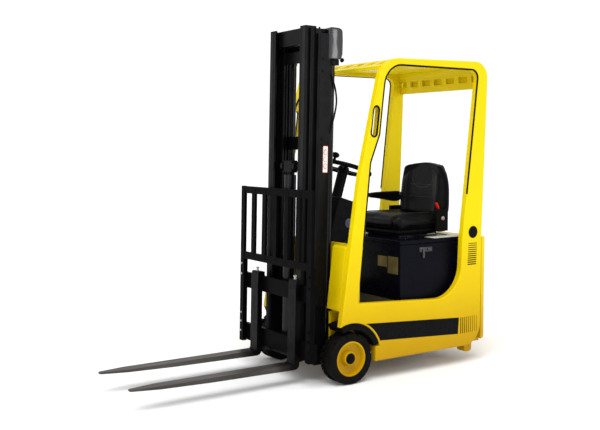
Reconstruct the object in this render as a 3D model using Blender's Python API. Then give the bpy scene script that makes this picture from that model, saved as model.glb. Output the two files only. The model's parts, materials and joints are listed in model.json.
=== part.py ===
"""Compact electric counterbalance forklift, three wheels, three-stage mast.

Metres. The front faces -Y, the left side is +X, and the origin is on the floor
under the middle of the outline. The mast group is drawn upright and leans as one.
"""
import math

import bmesh
import bpy
from mathutils import Matrix, Vector

for old in list(bpy.data.objects):
    bpy.data.objects.remove(old, do_unlink=True)

# ---------------------------------------------------------------- driving sizes
OVERALL_LENGTH = 2.36        # fork tips to the tail
BODY_WIDTH = 0.85
GUARD_HEIGHT = 1.90
MAST_HEIGHT = 2.06
FORK_LENGTH = 0.995          # tip to the front of the shank
FRONT_OVERHANG = 0.284       # front of the shank to the front axle
REAR_OVERHANG = 0.28         # drive wheel's axle to the tail
WHEEL_RADIUS = 0.15
WHEEL_WIDTH = 0.12
DRIVE_WHEEL_RADIUS = 0.14
DRIVE_WHEEL_WIDTH = 0.10
GROUND_CLEARANCE = 0.115     # under the skirts
FLOOR_HEIGHT = 2 * WHEEL_RADIUS + 0.13       # driver's floor, over the front wheels
SKIRT_HEIGHT = FLOOR_HEIGHT + 0.02           # door sill
DECK_HEIGHT = 0.80           # top of the battery box and the tail
SIDE_THICKNESS = 0.04
SIDE_ROUND = 0.009           # softened outer edge of the side panels
SEAT_WIDTH = 0.44
MAST_LEAN = math.radians(1.3)
COLUMN_LEAN = math.radians(17.0)
CHANNEL_DEPTH = 0.075
CHANNEL_WALL = 0.012
STAGE_STEP = 0.032           # each mast stage stands this far behind the one in it
INNER_MAST_HALF = 0.190
MIDDLE_MAST_HALF = 0.214
OUTER_MAST_HALF = 0.246
FORK_WIDTH = 0.08
FORK_THICKNESS = 0.034
FORK_CENTRE = 0.209
BACKREST_HALF = 0.39
BACKREST_TOP = 1.12
LIFT_BARREL_RADIUS = 0.027
LIFT_ROD_RADIUS = 0.016
STEERING_WHEEL_RADIUS = 0.165

SEAT_GAP = 0.0003            # between pieces that bear on each other
RUNNING_GAP = 0.0055         # between pieces that pass each other
ROD_GAP = 0.0008             # round a rod in its gland

# ---------------------------------------------------------------- stations
FORK_TIP_Y = -OVERALL_LENGTH / 2
TAIL_Y = OVERALL_LENGTH / 2
FORK_FACE_Y = FORK_TIP_Y + FORK_LENGTH
AXLE_Y = FORK_FACE_Y + FRONT_OVERHANG
DRIVE_Y = TAIL_Y - REAR_OVERHANG
SIDE_X = BODY_WIDTH / 2
INNER_X = SIDE_X - SIDE_THICKNESS
WHEEL_X = SIDE_X - 0.005 - WHEEL_WIDTH / 2


def behind_axle(distance):
    return AXLE_Y + distance


def before_tail(distance):
    return TAIL_Y - distance


# ---------------------------------------------------------------- materials
def paint(name, colour, roughness, metallic=0.0):
    material = bpy.data.materials.new(name)
    material.use_nodes = True
    shader = material.node_tree.nodes["Principled BSDF"]
    shader.inputs["Base Color"].default_value = (*colour, 1.0)
    shader.inputs["Roughness"].default_value = roughness
    shader.inputs["Metallic"].default_value = metallic
    return material


YELLOW = paint("yellow_paint", (0.90, 0.72, 0.02), 0.35)
BLACK_PAINT = paint("black_paint", (0.02, 0.02, 0.025), 0.4)
BLACK_PLASTIC = paint("black_plastic", (0.03, 0.03, 0.03), 0.55)
VINYL = paint("black_vinyl", (0.02, 0.02, 0.022), 0.5)
FORK_STEEL = paint("fork_steel", (0.10, 0.085, 0.075), 0.5, 0.6)
CHROME = paint("rod_chrome", (0.8, 0.8, 0.82), 0.15, 1.0)
DARK_STEEL = paint("dark_steel", (0.06, 0.06, 0.065), 0.45, 0.7)
TYRE_RUBBER = paint("tyre_rubber", (0.025, 0.025, 0.028), 0.8)
BATTERY_GREY = paint("battery_grey", (0.2, 0.2, 0.22), 0.6)


# ---------------------------------------------------------------- outlines
def filleted(corners, steps=5):
    """Closed outline whose corners (u, v, radius) are rounded by arcs."""
    outline = []
    count = len(corners)
    for index, (u, v, radius) in enumerate(corners):
        here = Vector((u, v))
        before = (Vector(corners[index - 1][:2]) - here).normalized()
        after = (Vector(corners[(index + 1) % count][:2]) - here).normalized()
        half = before.angle(after) / 2
        if radius <= 0 or half > math.radians(89):
            outline.append(here)
            continue
        reach = radius / math.tan(half)
        centre = here + (before + after).normalized() * radius / math.sin(half)
        start = here + before * reach - centre
        end = here + after * reach - centre
        turn = start.angle_signed(end)
        for step in range(steps + 1):
            outline.append(centre + Matrix.Rotation(-turn * step / steps, 2) @ start)
    return outline


def arc(centre, radius, start_deg, end_deg, steps):
    points = []
    for step in range(steps + 1):
        angle = math.radians(start_deg + (end_deg - start_deg) * step / steps)
        points.append(Vector((centre[0] + radius * math.cos(angle),
                              centre[1] + radius * math.sin(angle))))
    return points


def slot_outline(centre, length, width, lean_deg, steps=5):
    """Upright slot with round ends, its top leaning towards the rear."""
    reach = length / 2 - width / 2
    points = arc((0, reach), width / 2, 0, 180, steps) + arc((0, -reach), width / 2, 180, 360, steps)
    turn = Matrix.Rotation(math.radians(-lean_deg), 2)
    return [turn @ point + Vector(centre) for point in points]


# ---------------------------------------------------------------- solids
def as_object(bm, name):
    bmesh.ops.remove_doubles(bm, verts=bm.verts, dist=1e-6)
    bmesh.ops.recalc_face_normals(bm, faces=bm.faces)
    mesh = bpy.data.meshes.new(name)
    bm.to_mesh(mesh)
    bm.free()
    thing = bpy.data.objects.new(name, mesh)
    bpy.context.scene.collection.objects.link(thing)
    return thing


def finish(thing, name, material, smooth=True):
    thing.name = name
    thing.data.name = name
    thing.data.materials.clear()
    thing.data.materials.append(material)
    if smooth:
        thing.data.shade_smooth()
        thing.data.set_sharp_from_angle(angle=math.radians(35))
    return thing


def shrunk(loop, distance, is_hole):
    """The loop moved into the plate by a distance, so that its rim can be rounded."""
    count = len(loop)
    area = sum(loop[i - 1][0] * loop[i][1] - loop[i][0] * loop[i - 1][1] for i in range(count))
    facing = distance if (area > 0) != is_hole else -distance
    moved = []
    for index, point in enumerate(loop):
        here = Vector(point)
        before = (here - Vector(loop[index - 1])).normalized()
        after = (Vector(loop[(index + 1) % count]) - here).normalized()
        normals = Vector((-before.y, before.x)), Vector((-after.y, after.x))
        moved.append(here + (normals[0] + normals[1]) * facing / (1 + normals[0].dot(normals[1])))
    return moved


def plate(outline, low, high, axis="X", holes=(), edge=0.0):
    """Flat outline pushed from low up to high along an axis; edge rounds the high face's rim."""
    bm = bmesh.new()
    layers = [(low, 0.0), (high, 0.0)]
    if edge:
        layers = [(low, 0.0), (high - edge * 0.7, 0.0), (high - edge * 0.3, edge * 0.3), (high, edge)]
    rims = {0: [], len(layers) - 1: []}
    for loop in (outline, *holes):
        rings = []
        for level, (height, inset) in enumerate(layers):
            points = shrunk(loop, inset, loop is not outline) if inset else loop
            ring = [bm.verts.new((height, point[0], point[1])) for point in points]
            edges = [bm.edges.new((ring[index - 1], vert)) for index, vert in enumerate(ring)]
            if level in rims:
                rims[level] += edges
            rings.append(ring)
        for lower, upper in zip(rings, rings[1:]):
            for index in range(len(loop)):
                bm.faces.new((lower[index - 1], lower[index], upper[index], upper[index - 1]))
    for edges in rims.values():
        bmesh.ops.triangle_fill(bm, edges=edges, use_beauty=True, normal=(1, 0, 0))
    if axis == "Y":
        bmesh.ops.rotate(bm, verts=bm.verts, matrix=Matrix.Rotation(math.radians(-90), 3, "Z"))
        bmesh.ops.scale(bm, verts=bm.verts, vec=(1, -1, 1))
    if axis == "Z":
        for vert in bm.verts:
            vert.co = Vector((vert.co.y, vert.co.z, vert.co.x))
    return as_object(bm, "plate")


def block(low, high, bevel=0.0, segments=1):
    bm = bmesh.new()
    bmesh.ops.create_cube(bm, size=1)
    size = [high[i] - low[i] for i in range(3)]
    middle = [(high[i] + low[i]) / 2 for i in range(3)]
    bmesh.ops.scale(bm, verts=bm.verts, vec=size)
    bmesh.ops.translate(bm, verts=bm.verts, vec=middle)
    if bevel:
        bmesh.ops.bevel(bm, geom=bm.edges[:], offset=bevel, segments=segments,
                        affect="EDGES", profile=0.5, material=-1)
    return as_object(bm, "block")


def rod(start, end, radius, sides=16):
    """Round bar between two points."""
    start, end = Vector(start), Vector(end)
    bm = bmesh.new()
    bmesh.ops.create_cone(bm, cap_ends=True, segments=sides, radius1=radius, radius2=radius,
                          depth=(end - start).length)
    turn = (end - start).to_track_quat("Z", "Y").to_matrix()
    bmesh.ops.rotate(bm, verts=bm.verts, matrix=turn)
    bmesh.ops.translate(bm, verts=bm.verts, vec=(start + end) / 2)
    return as_object(bm, "rod")


def turned(profile, centre, axis, sides=24):
    """Solid of revolution from (radius, height) points listed round the section."""
    bm = bmesh.new()
    ring = [bm.verts.new((radius, 0, height)) for radius, height in profile]
    edges = [bm.edges.new((ring[index - 1], vert)) for index, vert in enumerate(ring)]
    edges = [edge for edge in edges if max(vert.co.x for vert in edge.verts) > 1e-6]
    bmesh.ops.spin(bm, geom=edges, axis=(0, 0, 1), cent=(0, 0, 0), angle=math.tau,
                   steps=sides, use_merge=True)
    loose = [edge for edge in bm.edges if not edge.link_faces]
    bmesh.ops.delete(bm, geom=loose, context="EDGES")
    bmesh.ops.remove_doubles(bm, verts=bm.verts, dist=1e-6)
    turn = Vector(axis).to_track_quat("Z", "Y").to_matrix()
    bmesh.ops.rotate(bm, verts=bm.verts, matrix=turn)
    bmesh.ops.translate(bm, verts=bm.verts, vec=centre)
    return as_object(bm, "turned")


def weld(solids, cuts=()):
    """One body from overlapping solids, less the cuts."""
    body = solids[0]
    for kind, tools in (("UNION", solids[1:]), ("DIFFERENCE", cuts)):
        for tool in tools:
            modifier = body.modifiers.new(kind.lower(), "BOOLEAN")
            modifier.operation = kind
            modifier.object = tool
    graph = bpy.context.evaluated_depsgraph_get()
    mesh = bpy.data.meshes.new_from_object(body.evaluated_get(graph))
    result = bpy.data.objects.new("welded", mesh)
    bpy.context.scene.collection.objects.link(result)
    for thing in (*solids, *cuts):
        bpy.data.objects.remove(thing, do_unlink=True)
    return result


def mirrored(thing):
    """The same solid on the other side."""
    bm = bmesh.new()
    bm.from_mesh(thing.data)
    bmesh.ops.scale(bm, verts=bm.verts, vec=(-1, 1, 1))
    return as_object(bm, "mirrored")


# ---------------------------------------------------------------- joint axes
PIVOTS = {}


def pivot(name, place, parent=None, lean=0.0):
    """Empty on a joint's axis; its children are drawn in the upright frame."""
    empty = bpy.data.objects.new(name, None)
    bpy.context.scene.collection.objects.link(empty)
    offset = Vector(place)
    if parent:
        empty.parent = PIVOTS[parent][0]
        offset -= PIVOTS[parent][1]
    empty.location = offset
    empty.rotation_euler.x = lean
    PIVOTS[name] = (empty, Vector(place))


def hang(thing, name):
    empty, place = PIVOTS[name]
    thing.data.transform(Matrix.Translation(-place))
    thing.parent = empty
    return thing


# ================================================================ side panels
# One pressed side on each flank: front pillar, roof rail, rear pillar and skirt.
PANEL_STEPS = 10             # facets in each of the pressed corners
ARCH_RADIUS = WHEEL_RADIUS + 0.058
ARCH_LIP = behind_axle(WHEEL_RADIUS + 0.022)
ARCH_STEP_HEIGHT = WHEEL_RADIUS + 0.055
PILLAR_FOOT_Y = behind_axle(-0.082)
ROOF_EDGE = GUARD_HEIGHT - 0.055      # top of the door opening


def arch_height(y, radius):
    return WHEEL_RADIUS + math.sqrt(radius ** 2 - (y - AXLE_Y) ** 2)


def side_outline():
    step_angle = math.degrees(math.asin((ARCH_STEP_HEIGHT - WHEEL_RADIUS) / ARCH_RADIUS))
    foot_angle = math.degrees(math.acos((PILLAR_FOOT_Y - AXLE_Y) / ARCH_RADIUS))
    arch = arc((AXLE_Y, WHEEL_RADIUS), ARCH_RADIUS, foot_angle, step_angle, 2 * PANEL_STEPS)
    lower = [(ARCH_LIP, ARCH_STEP_HEIGHT, 0), (ARCH_LIP, GROUND_CLEARANCE, 0),
             (before_tail(0.055), GROUND_CLEARANCE, 0.13),
             (before_tail(0.055), DECK_HEIGHT + 0.01, 0.3),
             (before_tail(0.018), GUARD_HEIGHT, 0.10),
             (behind_axle(0.213), GUARD_HEIGHT - 0.018, 0.155),
             (behind_axle(0.045), GUARD_HEIGHT - 0.725, 0.8),
             (PILLAR_FOOT_Y, arch[0].y, 0)]
    shape = filleted(lower, PANEL_STEPS)
    return shape[:-1] + arch


def door_opening():
    sill = SKIRT_HEIGHT
    corners = [(behind_axle(0.040), sill + 0.019, 0.02),
               (before_tail(0.235), sill - 0.025, 0.20),
               (before_tail(0.222), DECK_HEIGHT - 0.01, 0.3),
               (before_tail(0.104), ROOF_EDGE, 0.05),
               (behind_axle(0.240), ROOF_EDGE, 0.13),
               (behind_axle(0.208), GUARD_HEIGHT - 0.30, 0.05),
               (behind_axle(0.190), GUARD_HEIGHT - 0.46, 0.05),
               (behind_axle(0.125), GUARD_HEIGHT - 0.62, 0.10)]
    return filleted(corners, PANEL_STEPS)


HANDHOLD = slot_outline((behind_axle(0.157), GUARD_HEIGHT - 0.385), 0.175, 0.042, 7, PANEL_STEPS)
side = plate(side_outline(), INNER_X, SIDE_X, holes=(door_opening(), HANDHOLD), edge=SIDE_ROUND)
finish(mirrored(side), "side_panel_right", YELLOW)
finish(side, "side_panel_left", YELLOW)

# ================================================================ roof
ROOF_HALF = INNER_X - SEAT_GAP
ROOF_THICKNESS = 0.02


def roof_section():
    top = GUARD_HEIGHT - 0.010
    corners = [(behind_axle(0.205), GUARD_HEIGHT - 0.085, 0),
               (behind_axle(0.205), GUARD_HEIGHT - 0.065, 0),
               (behind_axle(0.335), top - 0.004, 0.12),
               (before_tail(0.040), top, 0.07),
               (before_tail(0.030), GUARD_HEIGHT - 0.165, 0),
               (before_tail(0.030) - ROOF_THICKNESS, GUARD_HEIGHT - 0.165, 0),
               (before_tail(0.042) - ROOF_THICKNESS, top - ROOF_THICKNESS, 0.05),
               (behind_axle(0.340), top - 0.004 - ROOF_THICKNESS, 0.10)]
    return filleted(corners, 8)


def roof_slots():
    """Oblong sight slots across the front and rear slopes."""
    slots = []
    for step in range(-3, 4):
        x = step * 0.117
        slots.append(block((x - 0.038, behind_axle(0.245), GUARD_HEIGHT - 0.12),
                           (x + 0.038, behind_axle(0.300), GUARD_HEIGHT + 0.05)))
        slots.append(block((x - 0.038, before_tail(0.085), GUARD_HEIGHT - 0.12),
                           (x + 0.038, before_tail(0.005), GUARD_HEIGHT - 0.085)))
    return slots


roof = weld([plate(roof_section(), -ROOF_HALF, ROOF_HALF)], roof_slots())
finish(roof, "guard_roof", YELLOW)

# ================================================================ chassis
FRAME_X = 0.27
FRAME_WALL = 0.02
FLOOR_BOTTOM = FLOOR_HEIGHT - 0.02
BATTERY_BOX_FRONT = behind_axle(0.42)
BATTERY_BOX_REAR = before_tail(0.125)
COUNTERWEIGHT_FRONT = before_tail(0.120)
TILT_PIN_Z = 0.300
TILT_REAR_Y = behind_axle(0.36)
TILT_X = 0.125
TILT_EAR_X = TILT_X + 0.034
TILT_EAR_WIDTH = 0.014
CROSS_MEMBER_Y = behind_axle(0.415)
MAST_PIVOT = Vector((0.0, behind_axle(0.0), WHEEL_RADIUS))
AXLE_RADIUS = 0.022
HUB_INNER_X = WHEEL_X - WHEEL_WIDTH / 2 + 0.02
FRAME_BOTTOM = 0.13
TURNTABLE_Z = 0.34
TURNTABLE_RADIUS = 0.14


def chassis_frame():
    """Two longitudinals tied by cross members, with the stub axles and turntable plate."""
    floor_top = FLOOR_BOTTOM - SEAT_GAP
    parts = []
    for side_sign in (-1, 1):
        inner, outer = sorted((side_sign * (FRAME_X - FRAME_WALL), side_sign * FRAME_X))
        parts.append(block((inner, behind_axle(-0.045), FRAME_BOTTOM),
                           (outer, DRIVE_Y - 0.23, floor_top)))
        parts.append(rod((side_sign * (FRAME_X - 0.01), AXLE_Y, WHEEL_RADIUS),
                         (side_sign * (WHEEL_X + 0.030), AXLE_Y, WHEEL_RADIUS), AXLE_RADIUS, 20))
        ear_low, ear_high = sorted((side_sign * TILT_EAR_X, side_sign * (TILT_EAR_X + TILT_EAR_WIDTH)))
        parts.append(block((ear_low, TILT_REAR_Y - 0.03, TILT_PIN_Z - 0.03),
                           (ear_high, CROSS_MEMBER_Y + 0.01, TILT_PIN_Z + 0.03)))
        parts.append(rod((side_sign * (TILT_X - 0.03), TILT_REAR_Y, TILT_PIN_Z),
                         (side_sign * (TILT_EAR_X + 0.008), TILT_REAR_Y, TILT_PIN_Z), 0.010, 12))
        wing_low, wing_high = sorted((side_sign * (FRAME_X - 0.01), side_sign * (INNER_X - SEAT_GAP)))
        parts.append(block((wing_low, behind_axle(0.235), FRAME_BOTTOM + 0.02),
                           (wing_high, behind_axle(0.255), floor_top - 0.004)))
        parts.append(block((wing_low, DRIVE_Y - 0.246, FRAME_BOTTOM + 0.02),
                           (wing_high, DRIVE_Y - 0.234, floor_top - 0.004)))
    parts.append(block((-FRAME_X + 0.012, behind_axle(0.237), FRAME_BOTTOM + 0.01),
                       (FRAME_X - 0.012, behind_axle(0.253), FRAME_BOTTOM + 0.12)))
    parts.append(block((-FRAME_X + 0.01, CROSS_MEMBER_Y, FRAME_BOTTOM + 0.01),
                       (FRAME_X - 0.01, CROSS_MEMBER_Y + FRAME_WALL, floor_top - 0.004)))
    parts.append(block((-FRAME_X + 0.01, DRIVE_Y - 0.248, FRAME_BOTTOM + 0.01),
                       (FRAME_X - 0.01, DRIVE_Y - 0.232, floor_top - 0.004)))
    parts.append(rod((-FRAME_X + 0.01, AXLE_Y, WHEEL_RADIUS),
                     (FRAME_X - 0.01, AXLE_Y, WHEEL_RADIUS), 0.028, 20))
    parts.append(block((-0.15, DRIVE_Y - 0.24, TURNTABLE_Z),
                       (0.15, DRIVE_Y + 0.15, TURNTABLE_Z + 0.025)))
    return weld(parts)


finish(chassis_frame(), "chassis_frame", YELLOW)

# ---------------------------------------------------------------- floor, cowl
RECESS_HALF = OUTER_MAST_HALF + 0.016
RECESS_BACK = behind_axle(0.060)
COWL_WALL = 0.020


def floor_plate():
    """Driver's floor, notched in front for the mast."""
    sheet = block((-INNER_X + SEAT_GAP, behind_axle(-0.030), FLOOR_BOTTOM),
                  (INNER_X - SEAT_GAP, BATTERY_BOX_FRONT + 0.03, FLOOR_HEIGHT))
    notch = block((-RECESS_HALF, behind_axle(-0.1), FLOOR_BOTTOM - 0.1),
                  (RECESS_HALF, RECESS_BACK, FLOOR_HEIGHT + 0.1))
    return weld([sheet], [notch])


finish(floor_plate(), "floor_plate", YELLOW)


def front_cowl():
    """Sloping front sheets either side of a recess that the mast leans back into."""
    foot = FLOOR_HEIGHT + SEAT_GAP
    back = RECESS_BACK + COWL_WALL
    shell = plate(filleted([(behind_axle(-0.068), foot, 0), (behind_axle(-0.025), DECK_HEIGHT, 0.02),
                            (back, DECK_HEIGHT, 0), (back, foot, 0)], 3), -INNER_X + SEAT_GAP,
                  INNER_X - SEAT_GAP)
    recess = block((-RECESS_HALF, behind_axle(-0.1), foot - 0.1),
                   (RECESS_HALF, RECESS_BACK, DECK_HEIGHT + 0.1))
    hollow = [(behind_axle(-0.068) + COWL_WALL, foot - 0.01),
              (behind_axle(-0.025) + COWL_WALL, DECK_HEIGHT - COWL_WALL),
              (RECESS_BACK, DECK_HEIGHT - COWL_WALL), (RECESS_BACK, foot - 0.01)]
    wings = [plate(hollow, sign * (RECESS_HALF + COWL_WALL), sign * SIDE_X) for sign in (-1, 1)]
    return weld([shell], [recess, *wings])


finish(front_cowl(), "front_cowl", YELLOW)

# ---------------------------------------------------------------- mudguards
FENDER_INNER_X = WHEEL_X - WHEEL_WIDTH / 2 - 0.012
ARCH_STEPS = 10
FENDER_RADIUS = ARCH_RADIUS * math.cos(math.radians(5)) - SEAT_GAP     # inside the arch's flats
FENDER_START_DEG = 20.0
FENDER_END_DEG = 112.0


def fender():
    """Black mudguard that fills the top of the wheel arch."""
    centre = (AXLE_Y, WHEEL_RADIUS)
    outer = arc(centre, FENDER_RADIUS, FENDER_START_DEG, FENDER_END_DEG, 10)
    inner = arc(centre, WHEEL_RADIUS + 0.020, FENDER_END_DEG, FENDER_START_DEG, 10)
    return plate(outer + inner, FENDER_INNER_X, SIDE_X - 0.002)


guard = fender()
finish(mirrored(guard), "fender_right", BLACK_PLASTIC)
finish(guard, "fender_left", BLACK_PLASTIC)

# ---------------------------------------------------------------- battery
BOX_HALF = 0.345
BOX_WALL = 0.015
BOX_TOP = DECK_HEIGHT - 0.025


def battery_box():
    """Open-topped sheet box on the floor, ahead of the counterweight."""
    outer = block((-BOX_HALF, BATTERY_BOX_FRONT, FLOOR_HEIGHT + SEAT_GAP),
                  (BOX_HALF, BATTERY_BOX_REAR, BOX_TOP), 0.004)
    hollow = block((-BOX_HALF + BOX_WALL, BATTERY_BOX_FRONT + BOX_WALL, FLOOR_HEIGHT + BOX_WALL),
                   (BOX_HALF - BOX_WALL, BATTERY_BOX_REAR - BOX_WALL, BOX_TOP + 0.05))
    return weld([outer], [hollow])


finish(battery_box(), "battery_box", BLACK_PAINT)
BATTERY_MARGIN = 0.035
battery = block((-BOX_HALF + BATTERY_MARGIN, BATTERY_BOX_FRONT + BATTERY_MARGIN,
                 FLOOR_HEIGHT + BOX_WALL + SEAT_GAP),
                (BOX_HALF - BATTERY_MARGIN, BATTERY_BOX_REAR - BATTERY_MARGIN, BOX_TOP - BOX_WALL), 0.004)
finish(battery, "battery", BATTERY_GREY)


# ---------------------------------------------------------------- counterweight
WHEEL_POCKET_RADIUS = 0.215


def counterweight():
    """Cast tail between the side panels, arched over the drive wheel."""
    plan = [(-SIDE_X, before_tail(0.055) + SEAT_GAP, 0), (-SIDE_X, TAIL_Y, 0.05),
            (SIDE_X, TAIL_Y, 0.05), (SIDE_X, before_tail(0.055) + SEAT_GAP, 0)]
    section = [(before_tail(0.055) + SEAT_GAP, GROUND_CLEARANCE + 0.03, 0),
               (TAIL_Y, GROUND_CLEARANCE + 0.03, 0.05),
               (TAIL_Y, DECK_HEIGHT, 0.03), (before_tail(0.055) + SEAT_GAP, DECK_HEIGHT, 0)]
    slab = weld([plate(filleted(plan, 4), GROUND_CLEARANCE, DECK_HEIGHT, "Z")])
    envelope = plate(filleted(section, 4), -SIDE_X - 0.01, SIDE_X + 0.01)
    modifier = slab.modifiers.new("corner", "BOOLEAN")
    modifier.operation = "INTERSECT"
    modifier.object = envelope
    graph = bpy.context.evaluated_depsgraph_get()
    tail = bpy.data.objects.new("tail", bpy.data.meshes.new_from_object(slab.evaluated_get(graph)))
    bpy.context.scene.collection.objects.link(tail)
    for thing in (slab, envelope):
        bpy.data.objects.remove(thing, do_unlink=True)
    core = block((-INNER_X + SEAT_GAP, COUNTERWEIGHT_FRONT, 0.40),
                 (INNER_X - SEAT_GAP, before_tail(0.03), DECK_HEIGHT))
    flank_left = block((WHEEL_POCKET_RADIUS + 0.01, DRIVE_Y - 0.05, GROUND_CLEARANCE + 0.01),
                       (INNER_X - SEAT_GAP, before_tail(0.03), FLOOR_HEIGHT - 0.01))
    flank_right = mirrored(flank_left)
    pocket = rod((0, DRIVE_Y, 0.0), (0, DRIVE_Y, 0.40), WHEEL_POCKET_RADIUS, 32)
    return weld([tail, core, flank_left, flank_right], [pocket])


finish(counterweight(), "counterweight", YELLOW)


def stabiliser():
    """Anti-tip foot under the rear corner."""
    corners = [(before_tail(0.150), 0.060, 0.02), (before_tail(0.085), 0.060, 0.02),
               (before_tail(0.085), GROUND_CLEARANCE + 0.01 - SEAT_GAP, 0),
               (before_tail(0.150), GROUND_CLEARANCE + 0.01 - SEAT_GAP, 0)]
    return plate(filleted(corners, 3), INNER_X - 0.075, INNER_X - 0.010)


foot = stabiliser()
finish(mirrored(foot), "stabiliser_right", YELLOW)
finish(foot, "stabiliser_left", YELLOW)

# ================================================================ controls
CONSOLE_HALF = 0.13
CONSOLE_BASE = Vector((0.0, behind_axle(0.115), DECK_HEIGHT))
COLUMN_DIRECTION = Vector((0.0, math.sin(COLUMN_LEAN), math.cos(COLUMN_LEAN)))
CONSOLE_LENGTH = 0.26
COLUMN_LENGTH = 0.425
WHEEL_CENTRE = CONSOLE_BASE + COLUMN_DIRECTION * (COLUMN_LENGTH + 0.032)
COLUMN_RADIUS = 0.032


def leaning(thing, base):
    """Turn an upright solid about its base to the column's angle."""
    turn = Matrix.Translation(base) @ Matrix.Rotation(-COLUMN_LEAN, 4, "X") @ Matrix.Translation(-base)
    thing.data.transform(turn)
    return thing


def dash_console():
    x, y, z = CONSOLE_BASE
    body = leaning(block((-CONSOLE_HALF, y - 0.075, z - 0.05),
                         (CONSOLE_HALF, y + 0.065, z + CONSOLE_LENGTH), 0.012, 2),
                   CONSOLE_BASE)
    foot_cut = block((-0.3, y - 0.3, z - 0.3), (0.3, y + 0.3, z + SEAT_GAP))
    leg = block((-CONSOLE_HALF + 0.01, RECESS_BACK + COWL_WALL + SEAT_GAP, FLOOR_HEIGHT + SEAT_GAP),
                (CONSOLE_HALF - 0.01, behind_axle(0.17), z + 0.03), 0.004)
    bore = rod(CONSOLE_BASE + COLUMN_DIRECTION * (CONSOLE_LENGTH - 0.05),
               CONSOLE_BASE + COLUMN_DIRECTION * (CONSOLE_LENGTH + 0.1), COLUMN_RADIUS + SEAT_GAP, 24)
    upper = weld([body], [foot_cut])
    return weld([upper, leg], [bore])


finish(dash_console(), "dash_console", BLACK_PLASTIC)
column_foot = CONSOLE_BASE + COLUMN_DIRECTION * (CONSOLE_LENGTH - 0.05 + SEAT_GAP)
column_top = CONSOLE_BASE + COLUMN_DIRECTION * COLUMN_LENGTH
finish(rod(column_foot, column_top, COLUMN_RADIUS, 24), "steering_column", BLACK_PLASTIC)


def ring(radius, thickness, centre, axis, sides=36, round_sides=8):
    profile = [(radius + thickness * math.cos(math.tau * step / round_sides),
                thickness * math.sin(math.tau * step / round_sides)) for step in range(round_sides)]
    return turned(profile, centre, axis, sides)


def steering_wheel():
    rim = ring(STEERING_WHEEL_RADIUS, 0.014, WHEEL_CENTRE, COLUMN_DIRECTION)
    hub = rod(WHEEL_CENTRE - COLUMN_DIRECTION * (0.032 - SEAT_GAP),
              WHEEL_CENTRE + COLUMN_DIRECTION * 0.012, 0.034, 24)
    across = Vector((1.0, 0.0, 0.0))
    along = COLUMN_DIRECTION.cross(across)
    spokes = []
    for turn_deg in (90, 210, 330):
        angle = math.radians(turn_deg)
        reach = (across * math.cos(angle) + along * math.sin(angle)) * STEERING_WHEEL_RADIUS
        spokes.append(rod(WHEEL_CENTRE - COLUMN_DIRECTION * 0.008, WHEEL_CENTRE + reach, 0.008, 8))
    knob_angle = math.radians(205)
    knob_arm = across * math.cos(knob_angle) + along * math.sin(knob_angle)
    knob_foot = WHEEL_CENTRE + knob_arm * STEERING_WHEEL_RADIUS
    stem = rod(knob_foot, knob_foot + COLUMN_DIRECTION * 0.035, 0.008, 10)
    knob = turned([(0, 0.025), (0.020, 0.030), (0.024, 0.044), (0.018, 0.056), (0, 0.060)],
                  knob_foot, COLUMN_DIRECTION, 16)
    return weld([rim, hub, *spokes, stem, knob])


pivot("steering_wheel_axis", WHEEL_CENTRE)
finish(hang(steering_wheel(), "steering_wheel_axis"), "steering_wheel", BLACK_PLASTIC)


def lever_block():
    """Hydraulic lever box on the right of the console with three short levers."""
    x, y, z = CONSOLE_BASE
    base_low = (-CONSOLE_HALF - 0.085, y - 0.01, z + 0.02)
    base_high = (-CONSOLE_HALF - SEAT_GAP, y + 0.09, z + 0.14)
    parts = [leaning(block(base_low, base_high, 0.006), CONSOLE_BASE)]
    for step in range(3):
        lever_x = -CONSOLE_HALF - 0.020 - step * 0.024
        foot = Vector((lever_x, y + 0.04, z + 0.13))
        top = foot + Vector((0, 0.02, 0.11))
        parts.append(leaning(rod(foot, top, 0.005, 8), CONSOLE_BASE))
        parts.append(leaning(rod(top, top + Vector((0, 0.004, 0.026)), 0.010, 10), CONSOLE_BASE))
    return weld(parts)


finish(lever_block(), "lever_block", BLACK_PLASTIC)


def pedals():
    """Brake and drive pedals on one treadle bracket."""
    bracket = block((-0.23, behind_axle(0.185), FLOOR_HEIGHT + SEAT_GAP),
                    (0.06, behind_axle(0.208), FLOOR_HEIGHT + 0.066))
    parts = [bracket]
    for x_low, x_high in ((-0.225, -0.155), (-0.02, 0.055)):
        pad = block((x_low, behind_axle(0.190), FLOOR_HEIGHT + 0.010),
                    (x_high, behind_axle(0.290), FLOOR_HEIGHT + 0.022))
        middle = Vector((0, behind_axle(0.290), FLOOR_HEIGHT + 0.016))
        turn = Matrix.Rotation(math.radians(-30), 4, "X")
        pad.data.transform(Matrix.Translation(middle) @ turn @ Matrix.Translation(-middle))
        parts.append(pad)
    return weld(parts)


finish(pedals(), "pedals", BLACK_PLASTIC)

# ================================================================ seat deck
DECK_REAR = BATTERY_BOX_REAR
DECK_HINGE_Y = DECK_REAR - 0.004
DECK_HINGE_Z = DECK_HEIGHT
pivot("deck_hinge", (0, DECK_HINGE_Y, DECK_HINGE_Z))


def seat_deck():
    """Lid of the battery box, hinged along its rear edge."""
    return block((-BOX_HALF, BATTERY_BOX_FRONT, BOX_TOP + SEAT_GAP),
                 (BOX_HALF, DECK_REAR, DECK_HEIGHT), 0.005, 2)


finish(hang(seat_deck(), "deck_hinge"), "seat_deck", BLACK_PAINT)

# ---------------------------------------------------------------- seat
SEAT_FRONT = before_tail(0.600)
SEAT_REAR = before_tail(0.110)
SEAT_HALF = SEAT_WIDTH / 2
PAN_TOP = DECK_HEIGHT + 0.045
CUSHION_TOP = DECK_HEIGHT + 0.150
BACK_TOP = DECK_HEIGHT + 0.485
pivot("seat_slide", (0, SEAT_REAR, DECK_HEIGHT), "deck_hinge")


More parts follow.
